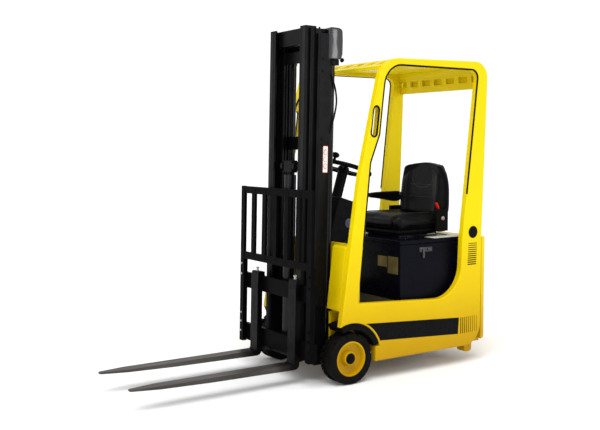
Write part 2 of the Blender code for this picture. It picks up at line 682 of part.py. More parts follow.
def seat_pan():
    """Steel pan on two runners."""
    pan = block((-SEAT_HALF + 0.03, SEAT_FRONT + 0.05, DECK_HEIGHT + 0.025),
                (SEAT_HALF - 0.03, SEAT_REAR - 0.03, PAN_TOP), 0.004)
    runners = [block((x - 0.02, SEAT_FRONT + 0.08, DECK_HEIGHT + SEAT_GAP),
                     (x + 0.02, SEAT_REAR - 0.08, DECK_HEIGHT + 0.03)) for x in (-0.13, 0.13)]
    hip_x = SEAT_HALF + SEAT_GAP + 0.008
    hips = [block((x - 0.008, SEAT_REAR - 0.16, DECK_HEIGHT + 0.030),
                  (x + 0.008, SEAT_REAR - 0.06, DECK_HEIGHT + 0.17)) for x in (-hip_x, hip_x)]
    ties = [block((-SEAT_HALF - 0.015, SEAT_REAR - 0.14, DECK_HEIGHT + 0.027),
                  (SEAT_HALF + 0.015, SEAT_REAR - 0.08, DECK_HEIGHT + 0.042))]
    return weld([pan, *runners, *hips, *ties])


finish(hang(seat_pan(), "seat_slide"), "seat_pan", BLACK_PAINT)


def seat_cushion():
    side_profile = [(SEAT_FRONT, PAN_TOP + 0.02, 0.03), (SEAT_FRONT, CUSHION_TOP - 0.005, 0.03),
                    (SEAT_REAR - 0.13, CUSHION_TOP - 0.02, 0.02),
                    (SEAT_REAR - 0.13, PAN_TOP + SEAT_GAP, 0),
                    (SEAT_FRONT + 0.06, PAN_TOP + SEAT_GAP, 0.02)]
    return plate(filleted(side_profile, 3), -SEAT_HALF, SEAT_HALF)


finish(hang(seat_cushion(), "seat_slide"), "seat_cushion", VINYL)


def seat_back():
    side_profile = [(SEAT_REAR - 0.125, PAN_TOP + 0.005, 0.02),
                    (SEAT_REAR - 0.105, CUSHION_TOP + 0.08, 0.1),
                    (SEAT_REAR - 0.075, BACK_TOP, 0.03), (SEAT_REAR - 0.005, BACK_TOP - 0.01, 0.03),
                    (SEAT_REAR - 0.020, PAN_TOP + 0.005, 0.02)]
    return plate(filleted(side_profile, 3), -SEAT_HALF, SEAT_HALF)


finish(hang(seat_back(), "seat_slide"), "seat_back", VINYL)
ARMREST_HINGE = Vector((0, SEAT_REAR - 0.065, DECK_HEIGHT + 0.245))
ARMREST_INNER_X = -SEAT_HALF - RUNNING_GAP
pivot("armrest_hinge", ARMREST_HINGE, "seat_slide")


def armrest():
    """Wedge arm on the right, pivoted on a pin beside the backrest."""
    y, z = ARMREST_HINGE.y, ARMREST_HINGE.z
    corners = [(y + 0.025, z + 0.025, 0.02), (y + 0.025, z - 0.03, 0.02), (y - 0.06, z - 0.055, 0.02),
               (y - 0.27, z - 0.012, 0.01), (y - 0.27, z + 0.018, 0.01)]
    arm = plate(filleted(corners, 3), ARMREST_INNER_X - 0.05, ARMREST_INNER_X)
    pin = rod((ARMREST_INNER_X - 0.01, y, z), (-SEAT_HALF - SEAT_GAP, y, z), 0.009, 12)
    return weld([arm, pin])


finish(hang(armrest(), "armrest_hinge"), "seat_armrest", VINYL)

# ================================================================ front wheels
RIM_RADIUS = 0.1025
TYRE_SIDES = 36


def tyre(centre, radius, width, rim_radius):
    half = width / 2
    profile = [(rim_radius + SEAT_GAP, -half + 0.008), (rim_radius + 0.010, -half),
               (radius - 0.014, -half),
               (radius, -half + 0.014), (radius, half - 0.014), (radius - 0.014, half),
               (rim_radius + 0.010, half), (rim_radius + SEAT_GAP, half - 0.008)]
    return turned(profile, centre, (1, 0, 0), TYRE_SIDES)


def dished_rim(centre, rim_radius, width, bore, dish, face):
    """Wheel disc with a deep outer dish; face is +1 or -1 for the outer side."""
    half = width / 2 - 0.008
    profile = [(bore, -half + 0.020), (0.050, -half + 0.020), (rim_radius - 0.012, -half),
               (rim_radius, -half),
               (rim_radius, half), (rim_radius - 0.010, half), (rim_radius - 0.016, half - dish),
               (0.045, half - dish - 0.004), (0.040, half - 0.010), (bore, half - 0.010)]
    return turned([(radius, height * face) for radius, height in profile], centre, (1, 0, 0), TYRE_SIDES)


for side_name, sign in (("left", 1), ("right", -1)):
    centre = Vector((sign * WHEEL_X, AXLE_Y, WHEEL_RADIUS))
    pivot(f"front_wheel_{side_name}_axis", centre)
    finish(hang(tyre(centre, WHEEL_RADIUS, WHEEL_WIDTH, RIM_RADIUS), f"front_wheel_{side_name}_axis"),
           f"tyre_front_{side_name}", TYRE_RUBBER)
    finish(hang(dished_rim(centre, RIM_RADIUS, WHEEL_WIDTH, AXLE_RADIUS + SEAT_GAP, 0.035, sign),
                f"front_wheel_{side_name}_axis"), f"rim_front_{side_name}", YELLOW)

# ================================================================ drive unit
DRIVE_RIM_RADIUS = 0.095
DRIVE_CENTRE = Vector((0.0, DRIVE_Y, DRIVE_WHEEL_RADIUS))
pivot("drive_steer_axis", (0, DRIVE_Y, TURNTABLE_Z))
pivot("drive_wheel_axis", DRIVE_CENTRE, "drive_steer_axis")
HALF_DRIVE = DRIVE_WHEEL_WIDTH / 2
HUB_BLIND_X = HALF_DRIVE - 0.032         # the hub's blind end, right of the middle
STUB_RADIUS = 0.020


def drive_unit():
    """Turntable flange, gearbox leg beside the wheel and its stub shaft."""
    flange = rod((0, DRIVE_Y, TURNTABLE_Z - 0.030), (0, DRIVE_Y, TURNTABLE_Z - SEAT_GAP),
                 TURNTABLE_RADIUS - 0.01, 28)
    leg = block((HALF_DRIVE + 0.010, DRIVE_Y - 0.055, 0.075),
                (HALF_DRIVE + 0.055, DRIVE_Y + 0.055, TURNTABLE_Z - 0.02),
                0.012, 2)
    stub = rod((HALF_DRIVE + 0.02, DRIVE_Y, DRIVE_WHEEL_RADIUS),
               (SEAT_GAP - HUB_BLIND_X, DRIVE_Y, DRIVE_WHEEL_RADIUS), STUB_RADIUS, 32)
    return weld([flange, leg, stub])


finish(hang(drive_unit(), "drive_steer_axis"), "drive_unit", DARK_STEEL)
finish(hang(tyre(DRIVE_CENTRE, DRIVE_WHEEL_RADIUS, DRIVE_WHEEL_WIDTH, DRIVE_RIM_RADIUS),
            "drive_wheel_axis"),
       "tyre_rear", TYRE_RUBBER)


def rear_hub():
    half = HALF_DRIVE - 0.008
    bore = STUB_RADIUS + 2 * SEAT_GAP
    profile = [(bore, half - 0.004), (bore, -HUB_BLIND_X), (0, -HUB_BLIND_X), (0, -half + 0.006),
               (0.060, -half + 0.006), (DRIVE_RIM_RADIUS, -half), (DRIVE_RIM_RADIUS, half),
               (0.060, half - 0.004)]
    return turned(profile, DRIVE_CENTRE, (1, 0, 0), TYRE_SIDES)


finish(hang(rear_hub(), "drive_wheel_axis"), "hub_rear", DARK_STEEL)

# ================================================================ mast
BAR_THICKNESS = 0.024
CARRIAGE_BAR_Y = FORK_FACE_Y + FORK_THICKNESS
INNER_FACE_Y = CARRIAGE_BAR_Y + BAR_THICKNESS + 0.016
MIDDLE_FACE_Y = INNER_FACE_Y + STAGE_STEP
OUTER_FACE_Y = MIDDLE_FACE_Y + STAGE_STEP
MAST_FOOT = 0.095
OUTER_TOP = MAST_HEIGHT - 0.045
ROLLER_RADIUS = CHANNEL_DEPTH / 2 - CHANNEL_WALL - SEAT_GAP
LIFT_Y = OUTER_FACE_Y + CHANNEL_DEPTH + LIFT_BARREL_RADIUS + 0.004
LIFT_X = 0.200
LIFT_FOOT = MAST_FOOT + 0.135
LIFT_BARREL_TOP = OUTER_TOP - 0.160
TILT_EYE = Vector((0.0, OUTER_FACE_Y + CHANNEL_DEPTH + 0.035, 0.365))
pivot("mast_tilt_axis", MAST_PIVOT, lean=-MAST_LEAN)
pivot("mast_middle_slide", MAST_PIVOT, "mast_tilt_axis")
pivot("mast_inner_slide", MAST_PIVOT, "mast_middle_slide")
pivot("carriage_slide", MAST_PIVOT, "mast_inner_slide")
pivot("crosshead_slide", MAST_PIVOT, "mast_inner_slide")


def channel(half, face_y, low, high, sign, front_inner, rear_inner):
    """Upright channel: web outside, flanges reaching in to the two given distances."""
    web_inner = half - CHANNEL_WALL
    outline = [(half, face_y), (half, face_y + CHANNEL_DEPTH), (rear_inner, face_y + CHANNEL_DEPTH),
               (rear_inner, face_y + CHANNEL_DEPTH - CHANNEL_WALL),
               (web_inner, face_y + CHANNEL_DEPTH - CHANNEL_WALL),
               (web_inner, face_y + CHANNEL_WALL), (front_inner, face_y + CHANNEL_WALL),
               (front_inner, face_y)]
    return plate([(sign * x, y) for x, y in outline], low, high, "Z")


def roller(half, face_y, z, sign):
    """Guide roller on a stage's web, running in the channel outside it."""
    centre_y = face_y + STAGE_STEP + CHANNEL_DEPTH / 2
    reach = half + RUNNING_GAP + 0.0065 - SEAT_GAP
    return rod((sign * (half - CHANNEL_WALL / 2), centre_y, z), (sign * reach, centre_y, z),
               ROLLER_RADIUS, 20)


def mast_outer():
    """Outer stage: two channels tied at the foot, behind the chains and at the top."""
    front_inner = MIDDLE_MAST_HALF + RUNNING_GAP
    rear_face = OUTER_FACE_Y + CHANNEL_DEPTH
    parts = []
    for sign in (-1, 1):
        parts.append(channel(OUTER_MAST_HALF, OUTER_FACE_Y, MAST_FOOT, OUTER_TOP, sign, front_inner,
                             0.165))
        ear_low, ear_high = sorted((sign * TILT_EAR_X, sign * (TILT_EAR_X + TILT_EAR_WIDTH)))
        parts.append(block((ear_low, rear_face - 0.002, TILT_EYE.z - 0.03),
                           (ear_high, TILT_EYE.y + 0.022, TILT_EYE.z + 0.03)))
        parts.append(rod((sign * (TILT_X - 0.03), TILT_EYE.y, TILT_EYE.z),
                         (sign * (TILT_EAR_X + 0.008), TILT_EYE.y, TILT_EYE.z), 0.010, 12))
        hanger_low, hanger_high = sorted((sign * 0.115, sign * 0.155))
        parts.append(block((hanger_low, rear_face - 0.005, WHEEL_RADIUS - 0.045),
                           (hanger_high, AXLE_Y + 0.045, WHEEL_RADIUS + 0.045)))
    parts.append(block((-OUTER_MAST_HALF + 0.02, rear_face - 0.008, WHEEL_RADIUS - 0.045),
                       (OUTER_MAST_HALF - 0.02, rear_face + 0.003, WHEEL_RADIUS + 0.045)))
    parts.append(block((-OUTER_MAST_HALF + 0.02, rear_face - 0.008, TILT_EYE.z - 0.05),
                       (OUTER_MAST_HALF - 0.02, rear_face + 0.003, TILT_EYE.z + 0.05)))
    parts.append(block((-OUTER_MAST_HALF + 0.02, rear_face - 0.008, 1.35),
                       (OUTER_MAST_HALF - 0.02, rear_face + 0.003, 1.43)))
    parts.append(block((-OUTER_MAST_HALF + 0.02, rear_face - 0.008, OUTER_TOP - 0.09),
                       (OUTER_MAST_HALF - 0.02, rear_face + 0.003, OUTER_TOP - 0.01)))
    for sign in (-1, 1):
        parts.append(rod((sign * LIFT_X, LIFT_Y, LIFT_FOOT - 0.03),
                         (sign * LIFT_X, LIFT_Y, LIFT_FOOT - SEAT_GAP), 0.022, 16))
        shelf_low, shelf_high = sorted((sign * (LIFT_X - 0.03), sign * (LIFT_X + 0.03)))
        parts.append(block((shelf_low, rear_face - 0.008, LIFT_FOOT - 0.042),
                           (shelf_high, LIFT_Y + 0.02, LIFT_FOOT - 0.02)))
    cuts = [rod((-0.3, AXLE_Y, WHEEL_RADIUS), (0.3, AXLE_Y, WHEEL_RADIUS), 0.028 + SEAT_GAP, 20)]
    for sign in (-1, 1):
        cuts.append(rod((sign * LIFT_X, LIFT_Y, LIFT_FOOT),
                        (sign * LIFT_X, LIFT_Y, LIFT_BARREL_TOP + 0.01),
                        LIFT_BARREL_RADIUS + SEAT_GAP, 16))
    return weld(parts, cuts)


finish(hang(mast_outer(), "mast_tilt_axis"), "mast_outer", BLACK_PAINT)


def lift_barrel(sign):
    """Side lift cylinder: a tube closed at the foot, with a gland at the top."""
    bore = LIFT_ROD_RADIUS + ROD_GAP
    gland = LIFT_BARREL_RADIUS + 0.004
    profile = [(0, LIFT_FOOT), (LIFT_BARREL_RADIUS, LIFT_FOOT),
               (LIFT_BARREL_RADIUS, LIFT_BARREL_TOP + 0.012),
               (gland, LIFT_BARREL_TOP + 0.012), (gland, LIFT_BARREL_TOP + 0.055),
               (bore, LIFT_BARREL_TOP + 0.055),
               (bore, LIFT_FOOT + 0.04), (0, LIFT_FOOT + 0.04)]
    return turned(profile, (sign * LIFT_X, LIFT_Y, 0), (0, 0, 1), 16)


def mast_middle():
    """Middle stage, with its top bar reaching back over the two lift rods."""
    front_inner = INNER_MAST_HALF + RUNNING_GAP
    rear_face = MIDDLE_FACE_Y + CHANNEL_DEPTH
    top = MAST_HEIGHT - 0.015
    parts = []
    for sign in (-1, 1):
        parts.append(channel(MIDDLE_MAST_HALF, MIDDLE_FACE_Y, MAST_FOOT + 0.01, top, sign, front_inner,
                             0.150))
        parts.append(roller(MIDDLE_MAST_HALF, MIDDLE_FACE_Y, MAST_FOOT + 0.06, sign))
        parts.append(roller(MIDDLE_MAST_HALF, MIDDLE_FACE_Y, MAST_FOOT + 0.40, sign))
        parts.append(rod((sign * LIFT_X, LIFT_Y, LIFT_FOOT + 0.06), (sign * LIFT_X, LIFT_Y, top - 0.008),
                         LIFT_ROD_RADIUS, 14))
    parts.append(block((-LIFT_X - 0.02, rear_face - 0.008, top - 0.022),
                       (LIFT_X + 0.02, LIFT_Y + 0.022, top)))
    parts.append(block((-MIDDLE_MAST_HALF + 0.03, rear_face - 0.008, top - 0.09),
                       (MIDDLE_MAST_HALF - 0.03, rear_face + 0.010, top)))
    parts.append(block((-MIDDLE_MAST_HALF + 0.03, rear_face - 0.008, MAST_FOOT + 0.02),
                       (MIDDLE_MAST_HALF - 0.03, rear_face + 0.010, MAST_FOOT + 0.09)))
    return weld(parts)


finish(hang(mast_middle(), "mast_middle_slide"), "mast_middle", BLACK_PAINT)
for side_name, sign in (("left", 1), ("right", -1)):
    finish(hang(lift_barrel(sign), "mast_tilt_axis"), f"lift_cylinder_{side_name}", BLACK_PAINT)

FREE_LIFT_Y = INNER_FACE_Y + CHANNEL_DEPTH / 2
FREE_LIFT_RADIUS = 0.036
FREE_ROD_RADIUS = 0.020
FREE_LIFT_FOOT = MAST_FOOT + 0.075
FREE_LIFT_TOP = 1.20


def mast_inner():
    """Inner stage that guides the carriage and stands the free-lift cylinder on its foot."""
    rear_face = INNER_FACE_Y + CHANNEL_DEPTH
    front_inner = 0.130
    parts = []
    for sign in (-1, 1):
        parts.append(channel(INNER_MAST_HALF, INNER_FACE_Y, MAST_FOOT + 0.02, MAST_HEIGHT, sign,
                             front_inner, front_inner))
        parts.append(roller(INNER_MAST_HALF, INNER_FACE_Y, MAST_FOOT + 0.07, sign))
        parts.append(roller(INNER_MAST_HALF, INNER_FACE_Y, MAST_FOOT + 0.41, sign))
    parts.append(block((-INNER_MAST_HALF + 0.03, rear_face - 0.045, MAST_HEIGHT - 0.10),
                       (INNER_MAST_HALF - 0.03, rear_face - 0.002, MAST_HEIGHT - 0.005)))
    parts.append(block((-INNER_MAST_HALF + 0.03, rear_face - 0.004, MAST_HEIGHT - 0.20),
                       (INNER_MAST_HALF - 0.03, rear_face + 0.005, MAST_HEIGHT - 0.13)))
    parts.append(block((-INNER_MAST_HALF + 0.03, INNER_FACE_Y + 0.004, MAST_FOOT + 0.025),
                       (INNER_MAST_HALF - 0.03, rear_face - 0.004, FREE_LIFT_FOOT - SEAT_GAP)))
    return weld(parts)


finish(hang(mast_inner(), "mast_inner_slide"), "mast_inner", BLACK_PAINT)


def free_lift_cylinder():
    bore = FREE_ROD_RADIUS + ROD_GAP
    profile = [(0, FREE_LIFT_FOOT), (FREE_LIFT_RADIUS, FREE_LIFT_FOOT), (FREE_LIFT_RADIUS, FREE_LIFT_TOP),
               (bore, FREE_LIFT_TOP), (bore, FREE_LIFT_FOOT + 0.04), (0, FREE_LIFT_FOOT + 0.04)]
    return turned(profile, (0, FREE_LIFT_Y, 0), (0, 0, 1), 20)


finish(hang(free_lift_cylinder(), "mast_inner_slide"), "free_lift_cylinder", BLACK_PAINT)


def crosshead():
    """Free-lift rod with its crosshead and two chain wheels."""
    stem = rod((0, FREE_LIFT_Y, FREE_LIFT_FOOT + 0.06), (0, FREE_LIFT_Y, FREE_LIFT_TOP + 0.05),
               FREE_ROD_RADIUS, 16)
    head = block((-0.045, FREE_LIFT_Y - 0.022, FREE_LIFT_TOP + 0.012),
                 (0.045, FREE_LIFT_Y + 0.022, FREE_LIFT_TOP + 0.085), 0.004)
    shaft = rod((-0.075, FREE_LIFT_Y, FREE_LIFT_TOP + 0.050), (0.075, FREE_LIFT_Y, FREE_LIFT_TOP + 0.050),
                0.010, 12)
    wheels = [rod((x - 0.011, FREE_LIFT_Y, FREE_LIFT_TOP + 0.050),
                  (x + 0.011, FREE_LIFT_Y, FREE_LIFT_TOP + 0.050), 0.028, 20)
              for x in (-0.062, 0.062)]
    return weld([stem, head, shaft, *wheels])


finish(hang(crosshead(), "crosshead_slide"), "lift_crosshead", DARK_STEEL)

# ================================================================ carriage
LOWER_BAR = (0.150, 0.255)
UPPER_BAR = (0.480, 0.575)
CARRIAGE_HALF = BACKREST_HALF - 0.002
BACKREST_BAR_WIDTH = 0.04
BACKREST_DEPTH = 0.018
BACKREST_SILL = 0.665


def fork_carriage():
    """Two fork bars tied by uprights whose rollers run in the inner stage."""
    rear = CARRIAGE_BAR_Y + BAR_THICKNESS
    upright_x = 0.112
    parts = [block((-CARRIAGE_HALF, CARRIAGE_BAR_Y, low), (CARRIAGE_HALF, rear, high)) for low,
             high in (LOWER_BAR, UPPER_BAR)]
    roller_y = INNER_FACE_Y + CHANNEL_DEPTH / 2
    for sign in (-1, 1):
        x_low, x_high = sorted((sign * (upright_x - 0.014), sign * upright_x))
        parts.append(block((x_low, rear - 0.006, 0.176),
                           (x_high, INNER_FACE_Y + CHANNEL_DEPTH - 0.014, 0.560)))
        for z in (0.205, 0.520):
            parts.append(rod((sign * (upright_x - 0.007), roller_y, z),
                             (sign * (INNER_MAST_HALF - CHANNEL_WALL - SEAT_GAP), roller_y, z),
                             ROLLER_RADIUS, 20))
    return weld(parts)


finish(hang(fork_carriage(), "carriage_slide"), "fork_carriage", BLACK_PAINT)


def load_backrest():
    """Upright bars in a frame whose side plates bolt to the ends of the fork bars."""
    front = FORK_FACE_Y + 0.004
    back = CARRIAGE_BAR_Y - SEAT_GAP
    bar_back = front + BACKREST_DEPTH
    parts = []
    for sign in (-1, 1):
        low, high = sorted((sign * BACKREST_HALF, sign * (BACKREST_HALF - BACKREST_BAR_WIDTH)))
        parts.append(block((low, front, 0.145), (high, back, BACKREST_SILL + 0.02)))
        parts.append(block((low, front, BACKREST_SILL - 0.02), (high, bar_back, BACKREST_TOP)))
    bars = 5
    pitch = (2 * BACKREST_HALF - BACKREST_BAR_WIDTH) / (bars + 1)
    for index in range(1, bars + 1):
        x = -BACKREST_HALF + BACKREST_BAR_WIDTH / 2 + index * pitch
        parts.append(block((x - BACKREST_BAR_WIDTH / 2, front + 0.001, BACKREST_SILL + 0.01),
                           (x + BACKREST_BAR_WIDTH / 2, bar_back - 0.001, BACKREST_TOP - 0.01)))
    parts.append(block((-BACKREST_HALF + 0.002, front + 0.002, BACKREST_SILL),
                       (BACKREST_HALF - 0.002, bar_back - 0.002, BACKREST_SILL + 0.045)))
    parts.append(block((-BACKREST_HALF + 0.002, front + 0.002, BACKREST_TOP - 0.045),
                       (BACKREST_HALF - 0.002, bar_back - 0.002, BACKREST_TOP - 0.001)))
    return weld(parts)


finish(hang(load_backrest(), "carriage_slide"), "load_backrest", BLACK_PAINT)

# ---------------------------------------------------------------- forks
BLADE_TOP = 0.119
BLADE_DROP = 0.023           # how far the blade dips from square over its length
SHANK_TOP = 0.604
TIP_THICKNESS = 0.010


def fork(centre_x):
    """Forged fork: tapering blade, shank, and hooks over both fork bars."""
    low_x, high_x = centre_x - FORK_WIDTH / 2, centre_x + FORK_WIDTH / 2
    back = CARRIAGE_BAR_Y - SEAT_GAP
    tip_foot = BLADE_TOP - BLADE_DROP - TIP_THICKNESS
    tip_rise = (tip_foot - MAST_PIVOT.z) * math.sin(MAST_LEAN)
    tip_y = MAST_PIVOT.y + (FORK_TIP_Y - MAST_PIVOT.y - tip_rise) / math.cos(MAST_LEAN)
    section = [(back, SHANK_TOP, 0.004), (back - 0.030, SHANK_TOP, 0.01),
               (FORK_FACE_Y, SHANK_TOP - 0.06, 0.02),
               (FORK_FACE_Y, BLADE_TOP, 0.012), (tip_y, tip_foot + TIP_THICKNESS, 0),
               (tip_y, tip_foot, 0),
               (tip_y + 0.45, BLADE_TOP - FORK_THICKNESS - 0.004, 0.3),
               (back, BLADE_TOP - FORK_THICKNESS, 0.03)]
    body = plate(filleted(section, 4), low_x, high_x)
    hooks = [block((low_x + 0.002, back - 0.006, UPPER_BAR[1] + SEAT_GAP),
                   (high_x - 0.002, back + 0.017, SHANK_TOP - 0.003)),
             block((low_x + 0.002, back - 0.006, LOWER_BAR[0] - 0.022),
                   (high_x - 0.002, back + 0.017, LOWER_BAR[0] - SEAT_GAP))]
    taper = 0.022
    corners = []
    for edge_x, sign in ((low_x, -1), (high_x, 1)):
        corners.append(plate([(edge_x + sign * 0.01, FORK_TIP_Y - 0.01),
                              (edge_x + sign * 0.01, FORK_TIP_Y + 0.16),
                              (edge_x, FORK_TIP_Y + 0.16), (edge_x - sign * taper, FORK_TIP_Y + 0.02),
                              (edge_x - sign * (taper + 0.008), FORK_TIP_Y - 0.01)], 0.0, 0.3, "Z"))
    return weld([body, *hooks], corners)


for side_name, sign in (("left", 1), ("right", -1)):
    pivot(f"fork_{side_name}_slide", (sign * FORK_CENTRE, FORK_FACE_Y, BLADE_TOP), "carriage_slide")
    finish(hang(fork(sign * FORK_CENTRE), f"fork_{side_name}_slide"), f"fork_{side_name}", FORK_STEEL)

# ================================================================ tilt cylinders
TILT_BARREL_RADIUS = 0.028
TILT_ROD_RADIUS = 0.013
TILT_EYE_RADIUS = 0.020
lean_turn = Matrix.Rotation(-MAST_LEAN, 3, "X")
EYE_AT = MAST_PIVOT + lean_turn @ (TILT_EYE - MAST_PIVOT)
TILT_REAR = Vector((0.0, TILT_REAR_Y, TILT_PIN_Z))


def eye(x, centre, direction, pin_radius, reach):
    """Lug round a pin, with a neck towards the rod or barrel."""
    lug = rod((x - 0.014, centre.y, centre.z), (x + 0.014, centre.y, centre.z), TILT_EYE_RADIUS, 18)
    start = Vector((x, centre.y, centre.z))
    neck = rod(start, start + direction * reach, TILT_ROD_RADIUS, 14)
    hole = rod((x - 0.05, centre.y, centre.z), (x + 0.05, centre.y, centre.z), pin_radius + SEAT_GAP, 12)
    return lug, neck, hole


for side_name, sign in (("left", 1), ("right", -1)):
    x = sign * TILT_X
    lift = (EYE_AT - TILT_REAR)
    along = lift.normalized()
    rear_pin = Vector((x, TILT_REAR.y, TILT_REAR.z))
    barrel_start = rear_pin + along * 0.030
    barrel_end = rear_pin + along * (lift.length - 0.085)
    pivot(f"tilt_cylinder_{side_name}_axis", rear_pin)
    lug, neck, hole = eye(x, TILT_REAR, along, 0.010, 0.04)
    barrel = rod(barrel_start, barrel_end, TILT_BARREL_RADIUS, 18)
    bore = rod(rear_pin + along * 0.060, barrel_end + along * 0.02, TILT_ROD_RADIUS + ROD_GAP, 14)
    finish(hang(weld([barrel, lug, neck], [hole, bore]), f"tilt_cylinder_{side_name}_axis"),
           f"tilt_cylinder_{side_name}", BLACK_PAINT)
    lug, neck, hole = eye(x, EYE_AT, -along, 0.010 + 0.003, lift.length - 0.125)
    pivot(f"tilt_rod_{side_name}_slide", (x, EYE_AT.y, EYE_AT.z), f"tilt_cylinder_{side_name}_axis")
    finish(hang(weld([lug, neck], [hole]), f"tilt_rod_{side_name}_slide"), f"tilt_rod_{side_name}",
           CHROME)
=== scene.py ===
"""Looks of a compact three-wheel electric forklift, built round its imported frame."""
import json
import math

import bmesh
import bpy
from mathutils import Matrix, Vector


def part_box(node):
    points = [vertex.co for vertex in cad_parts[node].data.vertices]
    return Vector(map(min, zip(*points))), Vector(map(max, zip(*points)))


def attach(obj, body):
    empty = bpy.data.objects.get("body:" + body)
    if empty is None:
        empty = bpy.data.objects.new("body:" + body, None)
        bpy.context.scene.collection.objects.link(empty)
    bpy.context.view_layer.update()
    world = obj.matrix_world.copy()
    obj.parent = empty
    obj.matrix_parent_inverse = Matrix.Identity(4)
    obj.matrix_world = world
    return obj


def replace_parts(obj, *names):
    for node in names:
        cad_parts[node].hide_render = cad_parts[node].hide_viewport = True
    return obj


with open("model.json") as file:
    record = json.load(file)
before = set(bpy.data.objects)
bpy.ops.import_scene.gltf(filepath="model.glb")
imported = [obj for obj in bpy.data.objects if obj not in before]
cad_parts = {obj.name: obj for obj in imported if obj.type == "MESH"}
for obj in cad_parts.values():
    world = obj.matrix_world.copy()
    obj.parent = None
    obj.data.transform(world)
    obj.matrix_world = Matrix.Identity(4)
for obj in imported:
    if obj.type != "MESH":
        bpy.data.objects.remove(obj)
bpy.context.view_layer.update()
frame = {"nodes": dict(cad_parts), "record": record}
node_bodies = {node: body for body, members in frame["record"]["behaviour"]["bodies"].items()
               for node in members}

# ---------------------------------------------------------------- studio
# A white seamless floor under one broad overhead light, with a bright band of air round the
# horizon and two tall soft banks whose reflections run down the mast and the body.
camera = bpy.data.objects.new("camera", bpy.data.cameras.new("camera"))
camera.location = (4.373, -2.921, 1.377)
camera.rotation_euler = (math.radians(90 - 4.12), 0.0, math.radians(56.08))
camera.data.lens = 52.58
camera.data.sensor_width = 36.0
camera.data.shift_y = -0.0107
bpy.context.scene.collection.objects.link(camera)
bpy.context.scene.camera = camera
bpy.context.scene.view_settings.view_transform = "Standard"

overhead = bpy.data.objects.new("overhead", bpy.data.lights.new("overhead", "SUN"))
overhead.data.energy = 2.1
overhead.data.angle = math.radians(42)
overhead.rotation_euler = Vector((-0.42, 0.40, -1.0)).to_track_quat("-Z", "Y").to_euler()
bpy.context.scene.collection.objects.link(overhead)


def soft_light(name, place, size, power, target=(0.0, 0.2, 1.0)):
    """A tall soft box turned towards the target."""
    lamp = bpy.data.objects.new(name, bpy.data.lights.new(name, "AREA"))
    lamp.data.shape = "RECTANGLE"
    lamp.data.size, lamp.data.size_y = size
    lamp.data.energy = power
    lamp.location = place
    lamp.rotation_euler = (Vector(target) - Vector(place)).to_track_quat("-Z", "Y").to_euler()
    bpy.context.scene.collection.objects.link(lamp)


soft_light("front_bank", (1.6, -5.4, 2.2), (0.9, 3.2), 38.0)
soft_light("side_bank", (5.6, 3.4, 2.4), (1.0, 3.2), 46.0)

studio_air = bpy.data.worlds.new("studio_air")
studio_air.use_nodes = True
air = studio_air.node_tree
upward = air.nodes.new("ShaderNodeSeparateXYZ")
air.links.new(air.nodes.new("ShaderNodeTexCoord").outputs["Generated"], upward.inputs["Vector"])
falling = air.nodes.new("ShaderNodeMapRange")
falling.inputs["From Min"].default_value = 0.24
falling.inputs["From Max"].default_value = 0.75
falling.inputs["To Min"].default_value = 1.08
falling.inputs["To Max"].default_value = 0.55
air.links.new(upward.outputs["Z"], falling.inputs["Value"])
air.links.new(falling.outputs["Result"], air.nodes["Background"].inputs["Strength"])
air.nodes["Background"].inputs["Color"].default_value = (1.0, 1.0, 1.0, 1.0)
bpy.context.scene.world = studio_air

bm = bmesh.new()
bmesh.ops.create_circle(bm, cap_ends=True, radius=60.0, segments=64)
floor_sweep = bpy.data.objects.new("floor_sweep", bpy.data.meshes.new("floor_sweep"))
bm.to_mesh(floor_sweep.data)
bm.free()
bpy.context.scene.collection.objects.link(floor_sweep)
pale_floor = bpy.data.materials.new("pale_floor")
pale_floor.use_nodes = True
floor_inputs = pale_floor.node_tree.nodes["Principled BSDF"].inputs
floor_inputs["Base Color"].default_value = (0.93, 0.93, 0.93, 1.0)
floor_inputs["Roughness"].default_value = 0.8
floor_inputs["Specular IOR Level"].default_value = 0.1
floor_sweep.data.materials.append(pale_floor)

# ---------------------------------------------------------------- pressed steel body
# Side panels, roof, floor, cowl and tail in lemon enamel over pressed sheet and casting.
# Their edges are folded or ground round; the enamel has a faint orange peel, and painted shade makes its
# colour darker and browner low down.


def bare_finish(name, colour, roughness, metallic=0.0, gloss=0.5):
    """A new material with its shader and its pattern coordinates on the piece itself."""
    material = bpy.data.materials.new(name)
    material.use_nodes = True
    tree = material.node_tree
    shader = tree.nodes["Principled BSDF"]
    shader.inputs["Base Color"].default_value = (*colour, 1.0)
    shader.inputs["Roughness"].default_value = roughness
    shader.inputs["Metallic"].default_value = metallic
    shader.inputs["Specular IOR Level"].default_value = gloss
    place = tree.nodes.new("ShaderNodeTexCoord").outputs["Object"]
    return material, tree, shader, place


def mottle(tree, place, scale, detail=3.0, stretch=(1.0, 1.0, 1.0)):
    """Cloudy pattern of about one over scale metres, stretched along an axis if asked."""
    mapping = tree.nodes.new("ShaderNodeMapping")
    mapping.inputs["Scale"].default_value = stretch
    noise = tree.nodes.new("ShaderNodeTexNoise")
    noise.inputs["Scale"].default_value = scale
    noise.inputs["Detail"].default_value = detail
    tree.links.new(place, mapping.inputs["Vector"])
    tree.links.new(mapping.outputs["Vector"], noise.inputs["Vector"])
    return noise.outputs["Fac"]


def shades(tree, pattern, steps):
    """Colour ramp from (position, colour) steps in rising order."""
    ramp = tree.nodes.new("ShaderNodeValToRGB")
    stops = ramp.color_ramp.elements
    for position, colour in steps[1:-1]:
        stops.new(position).color = (*colour, 1.0)
    for stop, (position, colour) in zip((stops[0], stops[-1]), (steps[0], steps[-1])):
        stop.position = position
        stop.color = (*colour, 1.0)
    tree.links.new(pattern, ramp.inputs["Fac"])
    return ramp.outputs["Color"]


